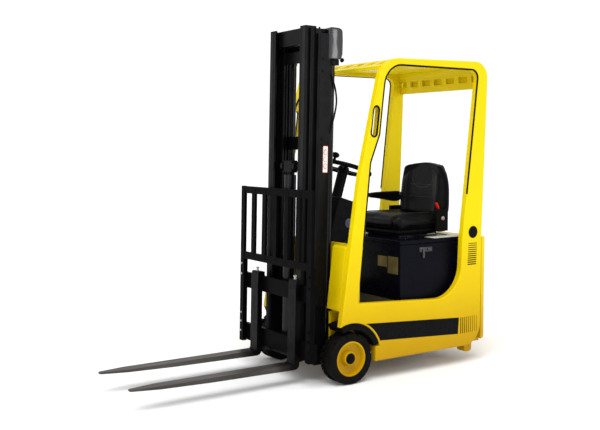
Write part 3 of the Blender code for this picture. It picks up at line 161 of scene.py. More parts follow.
def graded(tree, pattern, low, high, source=(0.3, 0.7)):
    """Pattern stretched to run from low to high."""
    spread = tree.nodes.new("ShaderNodeMapRange")
    spread.inputs["From Min"].default_value, spread.inputs["From Max"].default_value = source
    spread.inputs["To Min"].default_value = low
    spread.inputs["To Max"].default_value = high
    tree.links.new(pattern, spread.inputs["Value"])
    return spread.outputs["Result"]


def relief(tree, shader, pattern, depth, strength=1.0):
    """Surface relief of the given depth in metres."""
    bump = tree.nodes.new("ShaderNodeBump")
    bump.inputs["Strength"].default_value = strength
    bump.inputs["Distance"].default_value = depth
    tree.links.new(pattern, bump.inputs["Height"])
    tree.links.new(bump.outputs["Normal"], shader.inputs["Normal"])


def clouded(tree, shader, place, scale, colour, steps, detail=5.0):
    """Base colour in clouds of about one over scale metres, from (position, strength) steps."""
    tints = [(position, tuple(part * strength for part in colour)) for position, strength in steps]
    tree.links.new(shades(tree, mottle(tree, place, scale, detail), tints), shader.inputs["Base Color"])


def roughened(tree, shader, pattern, low, high):
    """Roughness that runs from low to high over the pattern."""
    tree.links.new(graded(tree, pattern, low, high), shader.inputs["Roughness"])


def lemon_enamel():
    """Thin gloss coat over lemon paint, with painted shade that makes it browner and darker towards the
    floor.
    """
    material, tree, shader, place = bare_finish("lemon_enamel", (0.80, 0.60, 0.006), 0.34, gloss=0.07)
    shader.inputs["Coat Weight"].default_value = 0.04
    shader.inputs["Coat Roughness"].default_value = 0.10
    # Painted shade: the colour runs from dark brown-orange low down to lemon high up with the piece's height,
    # with a little random cloudiness mixed in.
    height = tree.nodes.new("ShaderNodeSeparateXYZ")
    tree.links.new(place, height.inputs["Vector"])
    shade_by_height = graded(tree, height.outputs["Z"], 0.0, 1.0, (0.08, 0.95))
    blend = tree.nodes.new("ShaderNodeMath")
    blend.operation = "MULTIPLY_ADD"
    blend.inputs[1].default_value = 0.12
    tree.links.new(mottle(tree, place, 4.0, 5.0), blend.inputs[0])
    tree.links.new(shade_by_height, blend.inputs[2])
    colour = shades(tree, blend.outputs["Value"], [
        (0.0, (0.38, 0.20, 0.001)), (0.22, (0.50, 0.30, 0.001)), (0.50, (0.65, 0.45, 0.001)),
        (1.0, (0.75, 0.585, 0.001))])
    tree.links.new(colour, shader.inputs["Base Color"])
    roughened(tree, shader, mottle(tree, place, 11.0, 4.0), 0.26, 0.40)
    relief(tree, shader, mottle(tree, place, 420.0, 1.0), 0.00012, 0.3)
    return material


enamel = lemon_enamel()


def placed(piece_name, mesh, finish, node, body=None, crease=35.0):
    """A finished mesh as a piece that rides with the node's body and takes its slot."""
    piece = bpy.data.objects.new(piece_name, mesh)
    bpy.context.scene.collection.objects.link(piece)
    mesh.materials.append(finish)
    mesh.shade_smooth()
    if crease:
        mesh.set_sharp_from_angle(angle=math.radians(crease))
    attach(piece, body or node_bodies[node])
    return piece


def eased(node, finish, rounding, crease=0.0):
    """The node's own shape as one clean shell with its edges eased, in the given finish."""
    shell = bmesh.new()
    shell.from_mesh(frame["nodes"][node].data)
    bmesh.ops.remove_doubles(shell, verts=shell.verts, dist=2e-5)
    bmesh.ops.dissolve_limit(shell, angle_limit=math.radians(0.6), verts=shell.verts, edges=shell.edges)
    mesh = bpy.data.meshes.new(node + "_shell")
    shell.to_mesh(mesh)
    shell.free()
    piece = placed(node + "_shell", mesh, finish, node, crease=crease)
    edge = piece.modifiers.new("eased_edges", "BEVEL")
    edge.width = rounding
    edge.segments = 2
    edge.limit_method = "ANGLE"
    edge.angle_limit = math.radians(32)
    even = piece.modifiers.new("even_faces", "WEIGHTED_NORMAL")
    even.weight = 60
    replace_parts(piece, node)


def as_piece(work, piece_name, finish, node, body=None, crease=35.0):
    """Closes the work: doubles merged, faces outwards, made a piece."""
    bmesh.ops.remove_doubles(work, verts=work.verts, dist=1e-6)
    bmesh.ops.recalc_face_normals(work, faces=work.faces)
    mesh = bpy.data.meshes.new(piece_name)
    work.to_mesh(mesh)
    work.free()
    return placed(piece_name, mesh, finish, node, body, crease)


def slab(work, low, high, rounding=0.0, segments=2, turn=None):
    """A bar or block with its edges rounded, turned by a matrix if asked."""
    before = set(work.verts)
    centre = (Vector(low) + Vector(high)) / 2
    size = Vector(high) - Vector(low)
    cube = bmesh.ops.create_cube(work, size=1, matrix=Matrix.Translation(centre)
                                 @ Matrix.Diagonal((*size, 1)))
    if rounding:
        edges = list({edge for vert in cube["verts"] for edge in vert.link_edges})
        bmesh.ops.bevel(work, geom=edges, offset=rounding, segments=segments, affect="EDGES",
                        profile=0.5, material=-1)
    fresh = [vert for vert in work.verts if vert not in before]
    if turn is not None:
        bmesh.ops.transform(work, verts=fresh, matrix=turn)
    return fresh


for node in ("guard_roof", "front_cowl", "counterweight", "floor_plate", "stabiliser_left",
             "stabiliser_right"):
    eased(node, enamel, 0.0022)
for side_name in ("left", "right"):
    eased(f"side_panel_{side_name}", enamel, 0.0018)
eased("chassis_frame", enamel, 0.0012)
strap_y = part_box("guard_roof")[1][1] - 0.0035
work = bmesh.new()
slab(work, (-0.376, -0.0011, -0.028), (0.376, 0.0011, 0.028), 0.0008,
     turn=Matrix.Translation((0, strap_y, 1.797)) @ Matrix.Rotation(math.radians(-3.5), 4, "X"))
as_piece(work, "roof_rear_strap", enamel, "guard_roof")

# ---------------------------------------------------------------- rubber edging
# Black extruded rubber pushed over the outer edge of each door opening, from the waist at the
# front over the top to the waist at the rear, and a ring of it round each handhold.


def rubber(name, colour, roughness):
    """Rubber, plastic or foil with a grey bloom and a fine grain."""
    material, tree, shader, place = bare_finish(name, colour, roughness, gloss=0.04)
    clouded(tree, shader, place, 22.0, colour, [(0.3, 0.8), (0.75, 1.5)])
    roughened(tree, shader, mottle(tree, place, 60.0, 3.0), roughness - 0.08, roughness + 0.08)
    relief(tree, shader, mottle(tree, place, 900.0, 2.0), 0.0002, 0.5)
    return material


edging_rubber = rubber("edging_rubber", (0.004, 0.004, 0.0045), 0.55)


def oval(half_wide, half_high, count, middle=(0.0, 0.0)):
    """Even points round an oval, anticlockwise."""
    turns = [math.tau * step / count for step in range(count)]
    return [(middle[0] + half_wide * math.cos(turn), middle[1] + half_high * math.sin(turn))
            for turn in turns]


def fresh_verts(step):
    """The vertices that an extrusion made."""
    return [item for item in step["geom"] if isinstance(item, bmesh.types.BMVert)]


def swept(work, outline, path, closed=False, side=(1.0, 0.0, 0.0)):
    """A section of (sideways, outwards) points drawn along a path."""
    path = [Vector(point) for point in path]
    count = len(path)
    side = Vector(side)
    headings = []
    for index, point in enumerate(path):
        before = path[index - 1] if (index or closed) else point
        after = path[(index + 1) % count] if (closed or index < count - 1) else point
        headings.append((after - before).normalized())
    side = (side - headings[0] * side.dot(headings[0])).normalized()
    up = headings[0].cross(side)
    ring = [work.verts.new(path[0] + side * a + up * b) for a, b in outline]
    edges = [work.edges.new((ring[index - 1], vert)) for index, vert in enumerate(ring)]
    if not closed:
        work.faces.new(ring)
    order = list(range(1, count)) + ([0] if closed else [])
    previous = 0
    for index in order:
        step = bmesh.ops.extrude_edge_only(work, edges=edges)
        edges = [item for item in step["geom"] if isinstance(item, bmesh.types.BMEdge)]
        verts = fresh_verts(step)
        turn = headings[previous].rotation_difference(headings[index]).to_matrix().to_4x4()
        bmesh.ops.transform(work, verts=verts, matrix=Matrix.Translation(path[index]) @ turn
                            @ Matrix.Translation(-path[previous]))
        previous = index
    if not closed:
        bmesh.ops.edgeloop_fill(work, edges=edges)


def section_loops(node, x):
    """Closed outlines where an upright plane at x cuts the node, tallest first."""
    cut = bmesh.new()
    cut.from_mesh(frame["nodes"][node].data)
    bmesh.ops.remove_doubles(cut, verts=cut.verts, dist=2e-5)
    bmesh.ops.bisect_plane(cut, geom=cut.verts[:] + cut.edges[:] + cut.faces[:], plane_co=(x, 0, 0),
                           plane_no=(1, 0, 0), clear_inner=True, clear_outer=True)
    bmesh.ops.remove_doubles(cut, verts=cut.verts, dist=5e-5)
    left = list(cut.verts)
    loops = []
    while left:
        vert = left.pop(0)
        loop = [vert.co.copy()]
        while True:
            beside = [edge.other_vert(vert) for edge in vert.link_edges]
            ahead = [other for other in beside if other in left]
            if not ahead:
                break
            vert = ahead[0]
            left.remove(vert)
            loop.append(vert.co.copy())
        loops.append(loop)
    cut.free()
    return sorted(loops, key=lambda loop: min(point.z for point in loop) - max(point.z for point in loop))


def thinned(loop, spacing):
    """The loop without points closer together than the spacing."""
    kept = [loop[0]]
    for point in loop[1:]:
        if (point - kept[-1]).length > spacing:
            kept.append(point)
    if (kept[0] - kept[-1]).length < spacing:
        kept.pop()
    return kept


def wound(loop):
    """The loop's points in the order that turns the outside of a swept section outwards."""
    area = sum(loop[index - 1].y * point.z - point.y * loop[index - 1].z for index, point in enumerate(loop))
    return loop[::-1] if area > 0 else loop


def waist_point(above, lower, waist_z):
    """Where the edge crosses waist height, between a point above it and the highest of the lower."""
    below = max(lower, key=lambda point: point.z)
    return above.lerp(below, (above.z - waist_z) / (above.z - below.z))


(PANEL_INNER_X, *_), (PANEL_OUTER_X, *_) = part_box("side_panel_left")
BEAD = 0.0056                        # half the thickness of the rubber bead
BEAD_IN = 0.0034                     # from the panel's outer face in to the bead's middle
BEAD_BITE = 0.0008                   # how far the bead's middle sits behind the edge
WAIST_FRONT_Z, WAIST_REAR_Z = 0.80, 1.075
EDGING = oval(BEAD, BEAD, 12, ((PANEL_OUTER_X - PANEL_INNER_X) / 2 - BEAD_IN, -BEAD_BITE))
loops = section_loops("side_panel_left", (PANEL_INNER_X + PANEL_OUTER_X) / 2)
door, handhold = (wound(thinned(loop, 0.002)) for loop in loops[1:3])
middle_y = sum(point.y for point in door) / len(door)
lowest = min(range(len(door)), key=lambda index: door[index].z)
door = door[lowest:] + door[:lowest]
run = [point for point in door if point.z > (WAIST_REAR_Z if point.y > middle_y else WAIST_FRONT_Z)]
low_front = [point for point in door if point.y < middle_y and point.z < WAIST_FRONT_Z]
low_rear = [point for point in door if point.y > middle_y and point.z < WAIST_REAR_Z]
run = [waist_point(run[0], low_front, WAIST_FRONT_Z), *run, waist_point(run[-1], low_rear, WAIST_REAR_Z)]
for side_name, side_sign in (("left", 1), ("right", -1)):
    for part_name, path, closed in (("door_edging", run, False), ("handhold_edging", handhold, True)):
        work = bmesh.new()
        swept(work, EDGING, path, closed)
        bmesh.ops.scale(work, verts=work.verts, vec=(side_sign, 1, 1))
        as_piece(work, f"{part_name}_{side_name}", edging_rubber, f"side_panel_{side_name}", crease=50.0)

# ---------------------------------------------------------------- side trim foils
# Thin cut vinyl stuck on both flanks: a black band behind the wheel arch that breaks up into
# upright bars, a slanted ladder of bars on the rear pillar and a plain black disc.
trim_black = rubber("trim_black_foil", (0.003, 0.003, 0.0035), 0.32)
FOIL = 0.0006                        # thickness of the vinyl
ARCH_GAP = 0.0685                    # from the tyre to the front end of the black band
BAND_LOW_Z, BAND_HIGH_Z = 0.199, 0.300
LADDER_FOOT, LADDER_RISE = (1.002, 0.628), (0.006, 0.133)
DISC_MIDDLE, DISC_RADIUS = (1.046, 0.834), 0.0385
TYRE_LOW, TYRE_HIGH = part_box("tyre_front_left")
FRONT_AXLE_Y = (TYRE_LOW[1] + TYRE_HIGH[1]) / 2
WHEEL_R = (TYRE_HIGH[2] - TYRE_LOW[2]) / 2


def foil(work, outline):
    """A thin flat foil on the left flank from (y, z) corners."""
    face = work.faces.new([work.verts.new((PANEL_OUTER_X, y, z)) for y, z in outline])
    grown = bmesh.ops.extrude_face_region(work, geom=[face])
    bmesh.ops.translate(work, verts=fresh_verts(grown), vec=(FOIL, 0, 0))


def flank_foils():
    """Outlines of the band, its nine thinning bars, the ladder's eleven bars and the disc."""
    arch = WHEEL_R + ARCH_GAP
    band = []
    for step in range(13):
        angle = math.radians(64 - 41 * step / 12)
        band.append((FRONT_AXLE_Y + arch * math.cos(angle), WHEEL_R + arch * math.sin(angle)))
    foils = [band + [(0.926, BAND_LOW_Z), (0.934, BAND_HIGH_Z + 0.002)]]
    for bar in range(9):
        width = 0.0062 - 0.00055 * bar
        y = 0.947 + 0.0175 * bar
        top = BAND_HIGH_Z + 0.0004 * bar
        foils.append([(y, BAND_LOW_Z), (y + width, BAND_LOW_Z), (y + width, top), (y, top)])
    for bar in range(11):
        rise = bar / 10
        y, z = (foot + rise * step for foot, step in zip(LADDER_FOOT, LADDER_RISE))
        top = z + 0.0070 - 0.0025 * rise
        foils.append([(y, z), (y + 0.074, z), (y + 0.074, top), (y, top)])
    return foils + [oval(DISC_RADIUS, DISC_RADIUS, 48, DISC_MIDDLE)]


for side_name, side_sign in (("left", 1), ("right", -1)):
    work = bmesh.new()
    for outline in flank_foils():
        foil(work, outline)
    bmesh.ops.triangulate(work, faces=[face for face in work.faces if len(face.verts) > 4],
                          ngon_method="EAR_CLIP")
    bmesh.ops.scale(work, verts=work.verts, vec=(side_sign, 1, 1))
    as_piece(work, f"side_trim_{side_name}", trim_black, f"side_panel_{side_name}")

# ---------------------------------------------------------------- tail seams and tow pin
# The cast tail is bolted on in two blocks, so a narrow dark joint runs round it low down; a steel
# drop pin stands in the tow pocket.


def lathed(work, profile, centre, axis, steps=32):
    """A turned part from (radius, height) points along an axis."""
    before = set(work.verts)
    ring = [work.verts.new((radius, 0, height)) for radius, height in profile]
    edges = [work.edges.new((ring[index], ring[index + 1])) for index in range(len(ring) - 1)]
    bmesh.ops.spin(work, geom=edges, axis=(0, 0, 1), cent=(0, 0, 0), angle=math.tau, steps=steps,
                   use_merge=True)
    fresh = [vert for vert in work.verts if vert not in before]
    turn = Vector(axis).to_track_quat("Z", "Y").to_matrix().to_4x4()
    bmesh.ops.transform(work, verts=fresh, matrix=Matrix.Translation(centre) @ turn)
    bmesh.ops.remove_doubles(work, verts=fresh, dist=1e-6)
    return [vert for vert in work.verts if vert not in before]


def turned(piece_name, finish, node, profile, centre, axis, steps):
    """One lathed part as a piece of its own."""
    work = bmesh.new()
    lathed(work, profile, centre, axis, steps)
    as_piece(work, piece_name, finish, node)


tail_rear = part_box("counterweight")[1][1]
SEAM_X, SEAM_Z = 0.383, 0.3165
work = bmesh.new()
for sign in (-1, 1):
    slab(work, (sign * SEAM_X - 0.0012, 1.108, SEAM_Z - 0.0015),
         (sign * SEAM_X + 0.0012, tail_rear + 0.0008, SEAM_Z))
slab(work, (-SEAM_X - 0.001, tail_rear - 0.002, SEAM_Z - 0.003), (SEAM_X + 0.001, tail_rear + 0.0006, SEAM_Z))
as_piece(work, "tail_seams", rubber("seam_shadow", (0.05, 0.03, 0.002), 0.7), "counterweight")


def worn_steel(name, colour, roughness, wear=0.25, gloss=0.5):
    """Bare or thinly oiled steel with cloudy colour, fine scratches and brighter rubbed places."""
    material, tree, shader, place = bare_finish(name, colour, roughness, 0.75, gloss)
    clouded(tree, shader, place, 9.0, colour, [(0.30, 0.7), (0.55, 1.0), (0.75, 1 + 3 * wear)], 8.0)
    streaks = mottle(tree, place, 60.0, 6.0, (1.0, 0.06, 1.0))
    roughened(tree, shader, streaks, roughness - 0.12, roughness + 0.15)
    relief(tree, shader, mottle(tree, place, 240.0, 3.0), 0.0002, 0.3)
    return material


zinc_steel = worn_steel("zinc_steel", (0.42, 0.42, 0.43), 0.34)
turned("tow_pin", zinc_steel, "counterweight",
       [(0, 0.60), (0.011, 0.60), (0.011, 0.700), (0.017, 0.703), (0.017, 0.709), (0, 0.710)],
       (0, 1.155, 0.10), (0, 0, 1), 20)

# ---------------------------------------------------------------- cab floor mat, pedals and fenders
# Ribbed black rubber mat glued to the steel floor and dulled by dust. The pedals and the fenders
# over the front tyres are moulded black plastic.
FLOOR_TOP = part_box("floor_plate")[1][2]
BOX_LOW, BOX_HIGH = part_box("battery_box")
MAT_FRONT_Y, RIB_PITCH, RIB_WIDTH = 0.300, 0.012, 0.005
work = bmesh.new()
slab(work, (-0.365, MAT_FRONT_Y, FLOOR_TOP + 0.0004), (0.372, BOX_LOW[1] - 0.004, FLOOR_TOP + 0.004), 0.0012)
for rib in range(1, 18):
    y = MAT_FRONT_Y + RIB_PITCH * rib
    slab(work, (-0.355, y, FLOOR_TOP + 0.003), (0.362, y + RIB_WIDTH, FLOOR_TOP + 0.0062), 0.001, 1)
as_piece(work, "floor_mat", rubber("mat_rubber", (0.035, 0.032, 0.020), 0.7), "floor_plate")
moulded_black = rubber("moulded_black", (0.0025, 0.0025, 0.0030), 0.42)
eased("pedals", moulded_black, 0.0010, crease=30.0)
for side_name in ("left", "right"):
    eased(f"fender_{side_name}", moulded_black, 0.0016)

# ---------------------------------------------------------------- battery box and seat deck
# Folded sheet box in blue-black gloss paint under a lift-up lid of the same sheet with pale wear
# strips. It has a pressed toggle latch on the door side and two blank riveted brass plates.


def dark_paint(name, colour, roughness, coat=0.02, gloss=0.035):
    """Sprayed paint with cloudy colour, a thin coat and a faint orange peel."""
    material, tree, shader, place = bare_finish(name, colour, roughness, gloss=gloss)
    shader.inputs["Coat Weight"].default_value = coat
    shader.inputs["Coat Roughness"].default_value = 0.16
    clouded(tree, shader, place, 7.0, colour, [(0.30, 0.75), (0.72, 1.4)])
    roughened(tree, shader, mottle(tree, place, 16.0, 5.0), roughness - 0.05, roughness + 0.09)
    relief(tree, shader, mottle(tree, place, 380.0, 1.0), 0.0001, 0.3)
    return material


box_paint = dark_paint("blue_black_paint", (0.0020, 0.0022, 0.0050), 0.26)
eased("battery_box", box_paint, 0.0025)
eased("seat_deck", box_paint, 0.0022)
frame["nodes"]["battery"].material_slots[0].material = rubber("cell_case", (0.06, 0.06, 0.065), 0.55)

work = bmesh.new()
box_side = BOX_HIGH[0]
latch_y, latch_z = 0.722, 0.738
for (x_low, y_low, z_low), (x_high, y_high, z_high), rounding in (
        ((0.0003, -0.052, -0.014), (0.0030, 0.052, 0.014), 0.001),      # base plate
        ((0.0028, -0.030, -0.052), (0.0095, -0.012, 0.006), 0.003),     # toggle
        ((0.0028, 0.014, -0.010), (0.0080, 0.046, 0.010), 0.003)):      # keeper
    slab(work, (box_side + x_low, latch_y + y_low, latch_z + z_low),
         (box_side + x_high, latch_y + y_high, latch_z + z_high), rounding)
for y in (latch_y - 0.044, latch_y):
    lathed(work, [(0.0042, 0), (0.0038, 0.0018), (0.002, 0.0026), (0, 0.0028)],
           (box_side + 0.0030, y, latch_z), (1, 0, 0), 12)
as_piece(work, "box_latch", dark_paint("latch_black", (0.012, 0.012, 0.014), 0.28, gloss=0.5), "battery_box")

work = bmesh.new()
for x_low, x_high, z_low, z_high in ((0.131, 0.219, 0.629, 0.695), (0.228, 0.324, 0.593, 0.699)):
    slab(work, (x_low, BOX_LOW[1] - 0.0022, z_low), (x_high, BOX_LOW[1] - 0.0003, z_high), 0.0008, 1)
    slab(work, (x_low + 0.010, BOX_LOW[1] - 0.0030, z_low + 0.010),
         (x_high - 0.010, BOX_LOW[1] - 0.0018, z_high - 0.010), 0.0005, 1)
    for x in (x_low + 0.005, x_high - 0.005):
        for z in (z_low + 0.005, z_high - 0.005):
            lathed(work, [(0.0022, 0), (0.0018, 0.0012), (0, 0.0016)], (x, BOX_LOW[1] - 0.0022, z),
                   (0, -1, 0), 10)
as_piece(work, "rating_plates", worn_steel("aged_brass", (0.20, 0.155, 0.05), 0.45, 0.2), "battery_box")

deck_rear, deck_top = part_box("seat_deck")[1][1:]
work = bmesh.new()
slab(work, (-0.30, 1.020, deck_top + 0.0003), (0.325, deck_rear - 0.006, deck_top + 0.004), 0.0015)
slab(work, (0.245, 0.80, deck_top + 0.0003), (0.335, 1.016, deck_top + 0.0025), 0.001)
pale_lid = dark_paint("pale_lid_grey", (0.50, 0.50, 0.46), 0.5, gloss=0.4)
as_piece(work, "deck_wear_strips", pale_lid, "seat_deck")

# ---------------------------------------------------------------- console, column and levers
# Moulded plastic shells round the steering column, with a steel-blue key cap low on the side and
# sunk cover screws.
for node in ("dash_console", "steering_column", "lever_block"):
    eased(node, moulded_black, 0.0035 if node == "dash_console" else 0.0012)
console_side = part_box("dash_console")[1][0]
turned("key_cap", dark_paint("key_cap_blue", (0.025, 0.03, 0.06), 0.35, gloss=0.5), "dash_console",
       [(0.030, 0), (0.030, 0.004), (0.026, 0.007), (0.017, 0.0075), (0.016, 0.012), (0, 0.013)],
       (console_side, 0.290, 0.905), (1, 0, 0), 28)
SCREW = [(0.006, 0), (0.006, 0.002), (0.0045, 0.0032), (0.0025, 0.0032), (0.0024, 0.0014), (0, 0.0014)]
work = bmesh.new()
for y, z in ((0.215, 0.86), (0.27, 1.0), (0.235, 0.94)):
    lathed(work, SCREW, (console_side - 0.0004, y, z), (1, 0, 0), 16)
as_piece(work, "console_screws", moulded_black, "dash_console")

# ---------------------------------------------------------------- steering wheel
# Steel armature moulded over with soft plastic: a thick round rim, three flat spokes, a domed hub
# cap and a spinner knob on a short stem.
column_line = Vector((0.0, 0.29237, 0.95630))
WHEEL_CENTRE = Vector((0.0, 0.3476, 1.2370))
RIM_REACH, RIM_THICK = 0.165, 0.0138
across = Vector((1.0, 0.0, 0.0))
along = column_line.cross(across)
SPOKE_RUN = ((-0.010, 0.02), (-0.008, 0.06), (-0.003, 0.11), (0.0, RIM_REACH - 0.004))
work = bmesh.new()
rim_path = [WHEEL_CENTRE + across * a + along * b for a, b in oval(RIM_REACH, RIM_REACH, 72)]
swept(work, oval(RIM_THICK, RIM_THICK, 14), rim_path, closed=True, side=column_line)
lathed(work, [(0.026, -0.032), (0.034, -0.026), (0.036, -0.006), (0.034, 0.004), (0.026, 0.010),
              (0.012, 0.012), (0, 0.0125)], WHEEL_CENTRE, column_line, 32)
for spoke_deg in (90, 210, 330):
    angle = math.radians(spoke_deg)
    reach = across * math.cos(angle) + along * math.sin(angle)
    path = [WHEEL_CENTRE + column_line * height + reach * out for height, out in SPOKE_RUN]
    swept(work, oval(0.015, 0.0052, 12), path, side=column_line.cross(reach))
KNOB_TURN = math.radians(300)
knob_foot = WHEEL_CENTRE + (across * math.cos(KNOB_TURN) + along * math.sin(KNOB_TURN)) * RIM_REACH
lathed(work, [(0.011, 0.004), (0.009, 0.016), (0.008, 0.026), (0.016, 0.029), (0.023, 0.036),
              (0.0245, 0.045), (0.020, 0.054), (0.010, 0.0590), (0, 0.060)], knob_foot, column_line, 24)
wheel_piece = as_piece(work, "steering_wheel_moulding", moulded_black, "steering_wheel", crease=40.0)
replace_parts(wheel_piece, "steering_wheel")

# ---------------------------------------------------------------- seat
# Black vinyl over moulded foam on a steel pan: a dished cushion with side bolsters, a back with
# a stitched head panel and piping, a plastic shell behind it and a drop-down arm on the right.


def vinyl(name, colour, roughness):
    """Pressed-grain vinyl with cloudy colour and roughness."""
    material, tree, shader, place = bare_finish(name, colour, roughness, gloss=0.09)
    shader.inputs["Sheen Weight"].default_value = 0.01
    clouded(tree, shader, place, 8.0, colour, [(0.32, 0.8), (0.70, 1.5)])
    roughened(tree, shader, mottle(tree, place, 14.0, 3.0), roughness - 0.08, roughness + 0.10)
    grain = tree.nodes.new("ShaderNodeTexVoronoi")
    grain.inputs["Scale"].default_value = 420.0
    tree.links.new(place, grain.inputs["Vector"])
    relief(tree, shader, grain.outputs["Distance"], 0.0004, 0.5)
    return material


seat_vinyl = vinyl("seat_vinyl", (0.0022, 0.0024, 0.0034), 0.34)
CUSHION_LOW, CUSHION_HIGH = (Vector(corner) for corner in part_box("seat_cushion"))
BACK_LOW, BACK_HIGH = (Vector(corner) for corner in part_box("seat_back"))
FOAM_CELL = 0.006                    # spacing of the skin's points
FOAM_PRESSURE, FOAM_GROWTH = 4.0, 0.008
BLOW_FRAMES = 14


def puffed(start):
    """Foam form blown out by a cloth simulation, no point moving more than the growth allowed."""
    stuffing = start.modifiers.new("even_skin", "REMESH")
    stuffing.mode = "VOXEL"
    stuffing.voxel_size = FOAM_CELL
    bpy.context.view_layer.update()
    skin = bpy.data.meshes.new_from_object(start.evaluated_get(bpy.context.evaluated_depsgraph_get()))
    start.modifiers.clear()
    start.data = skin
    rest = [vert.co.copy() for vert in skin.vertices]
    cloth = start.modifiers.new("foam_pressure", "CLOTH")
    cloth.settings.use_pressure = True
    cloth.settings.uniform_pressure_force = FOAM_PRESSURE
    cloth.settings.effector_weights.gravity = 0.0
    cloth.settings.quality = 5
    cloth.point_cache.frame_start, cloth.point_cache.frame_end = 1, BLOW_FRAMES
    for moment in range(1, BLOW_FRAMES + 1):
        bpy.context.scene.frame_set(moment)
    blown = start.evaluated_get(bpy.context.evaluated_depsgraph_get()).data
    moved = [vert.co.copy() for vert in blown.vertices]
    start.modifiers.clear()
    bpy.context.scene.frame_set(1)
    for vert, old, new in zip(skin.vertices, rest, moved):
        step = new - old
        vert.co = old + step * min(1.0, FOAM_GROWTH / max(step.length, 1e-9))
    body = bmesh.new()
    body.from_mesh(skin)
    for _ in range(3):
        bmesh.ops.smooth_vert(body, verts=body.verts, factor=0.5, use_axis_x=True, use_axis_y=True,
                              use_axis_z=True)
    body.to_mesh(skin)
    body.free()


def foam_block(low, high, cuts, shape):
    """A block cut into even cells and moved point by point by the shape rule."""
    body = bmesh.new()
    slab(body, low, high)
    for axis, count in enumerate(cuts):
        for cut in range(1, count):
            normal = Vector([float(axis == other) for other in range(3)])
            level = low[axis] + (high[axis] - low[axis]) * cut / count
            bmesh.ops.bisect_plane(body, geom=body.verts[:] + body.edges[:] + body.faces[:],
                                   plane_co=normal * level, plane_no=normal)
    for vert in body.verts:
        vert.co = shape(vert.co.copy())
    return body


def soft_step(value, low, high):
    """From 0 at low to 1 at high with no kink at either end."""
    share = min(1.0, max(0.0, (value - low) / (high - low)))
    return share * share * (3 - 2 * share)


def rounded_off(piece, modifier_name, levels):
    """Subdivides the piece alike in the view and in the render."""
    piece.modifiers.new(modifier_name, "SUBSURF").levels = levels
    piece.modifiers[modifier_name].render_levels = levels


def pad(piece_name, body):
    """The form as a padded vinyl piece on the seat."""
    bmesh.ops.recalc_face_normals(body, faces=body.faces)
    mesh = bpy.data.meshes.new(piece_name)
    body.to_mesh(mesh)
    body.free()
    start = bpy.data.objects.new(piece_name, mesh)
    bpy.context.scene.collection.objects.link(start)
    puffed(start)
    skin = start.data
    bpy.data.objects.remove(start)
    piece = placed(piece_name, skin, seat_vinyl, "seat_cushion", crease=0.0)
    rounded_off(piece, "fine_skin", 1)
    return piece


def cushion_form(point):
    """Dished seat: bolsters along both sides, a rolled front and a low rear."""
    across_share = abs(point.x) / CUSHION_HIGH.x
    front = soft_step(point.y, CUSHION_LOW.y, CUSHION_LOW.y + 0.07)
    up_share = (point.z - CUSHION_LOW.z) / (CUSHION_HIGH.z - CUSHION_LOW.z)
    behind_roll = soft_step(point.y, CUSHION_LOW.y + 0.05, CUSHION_LOW.y + 0.2)
    dish = 0.016 * (1 - soft_step(across_share, 0.35, 0.80)) * behind_roll
    point.z -= up_share * (dish + 0.030 * (1 - front) + 0.018 * soft_step(across_share, 0.88, 1.0))
    point.x *= 0.965 - 0.05 * (1 - front) - 0.02 * (1 - up_share)
    point.y += 0.05 * (1 - up_share) * (1 - front) + 0.006
    return point


cushion = pad("seat_cushion_foam", foam_block(
    (CUSHION_LOW.x + 0.006, CUSHION_LOW.y + 0.006, CUSHION_LOW.z + 0.002),
    (CUSHION_HIGH.x - 0.006, CUSHION_HIGH.y + 0.012, CUSHION_HIGH.z - 0.002), (16, 14, 5), cushion_form))
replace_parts(cushion, "seat_cushion")
BACK_HEIGHT = BACK_HIGH.z - BACK_LOW.z


def back_front_y(z):
    """Front face of the back's frame: leaning rearwards towards its top."""
    rise = (z - BACK_LOW.z) / BACK_HEIGHT
    return BACK_LOW.y + 0.004 + 0.050 * rise ** 1.3


def back_half_width(z):
    """Half width of the back: full at the waist, drawn in by a round shoulder at the top."""
    rise = (z - BACK_LOW.z) / BACK_HEIGHT
    shoulder = max(0.0, (rise - 0.50) / 0.50)
    drawn_in = math.sqrt(max(0.02, 1 - (shoulder * 0.84) ** 2.2))
    return BACK_HIGH.x * (0.90 + 0.08 * soft_step(rise, 0.0, 0.35)) * drawn_in


def back_shares(point):
    """How far across, up and rearwards a point lies in the back's box."""
    return (point.x / BACK_HIGH.x, (point.z - BACK_LOW.z) / BACK_HEIGHT,
            (point.y - BACK_LOW.y) / (BACK_HIGH.y - BACK_LOW.y))


def back_form(point):
    """Wings forward at both sides, hollow between them, thinner towards the crown."""
    share, rise, depth_share = back_shares(point)
    wing = 0.022 * soft_step(abs(share), 0.45, 0.85) * (1 - soft_step(rise, 0.60, 0.95))
    thick = 0.072 - 0.020 * rise
    crown = 1 - 0.05 * share ** 2 * soft_step(rise, 0.7, 1.0)
    z = BACK_LOW.z + 0.055 + (BACK_HEIGHT - 0.062) * rise * crown
    round_side = 0.018 * soft_step(abs(share), 0.80, 1.0)
    y = back_front_y(z) + 0.026 - wing + round_side + (thick + wing - 2 * round_side) * depth_share
    return Vector((share * back_half_width(z), min(y, BACK_HIGH.y - 0.012), z))


back = pad("seat_back_foam", foam_block(tuple(BACK_LOW), tuple(BACK_HIGH), (16, 3, 18), back_form))
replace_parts(back, "seat_back")


def shell_form(point):
    """Plastic back shell, curved forward under the cushion at its foot."""
    share, rise, depth_share = back_shares(point)
    crown = 1 - 0.05 * share ** 2 * soft_step(rise, 0.7, 1.0)
    z = BACK_LOW.z + 0.004 + (BACK_HEIGHT - 0.020) * rise * crown
    bow = 0.020 * share ** 2
    foot = 0.085 * (1 - soft_step(rise, 0.0, 0.22))
    rear = BACK_HIGH.y - 0.0015 - bow - foot - 0.012 * soft_step(rise, 0.75, 1.0)
    front = rear - (0.030 + 0.018 * abs(share)) * (1 - depth_share)
    return Vector((share * (back_half_width(z) + 0.004), front, z))


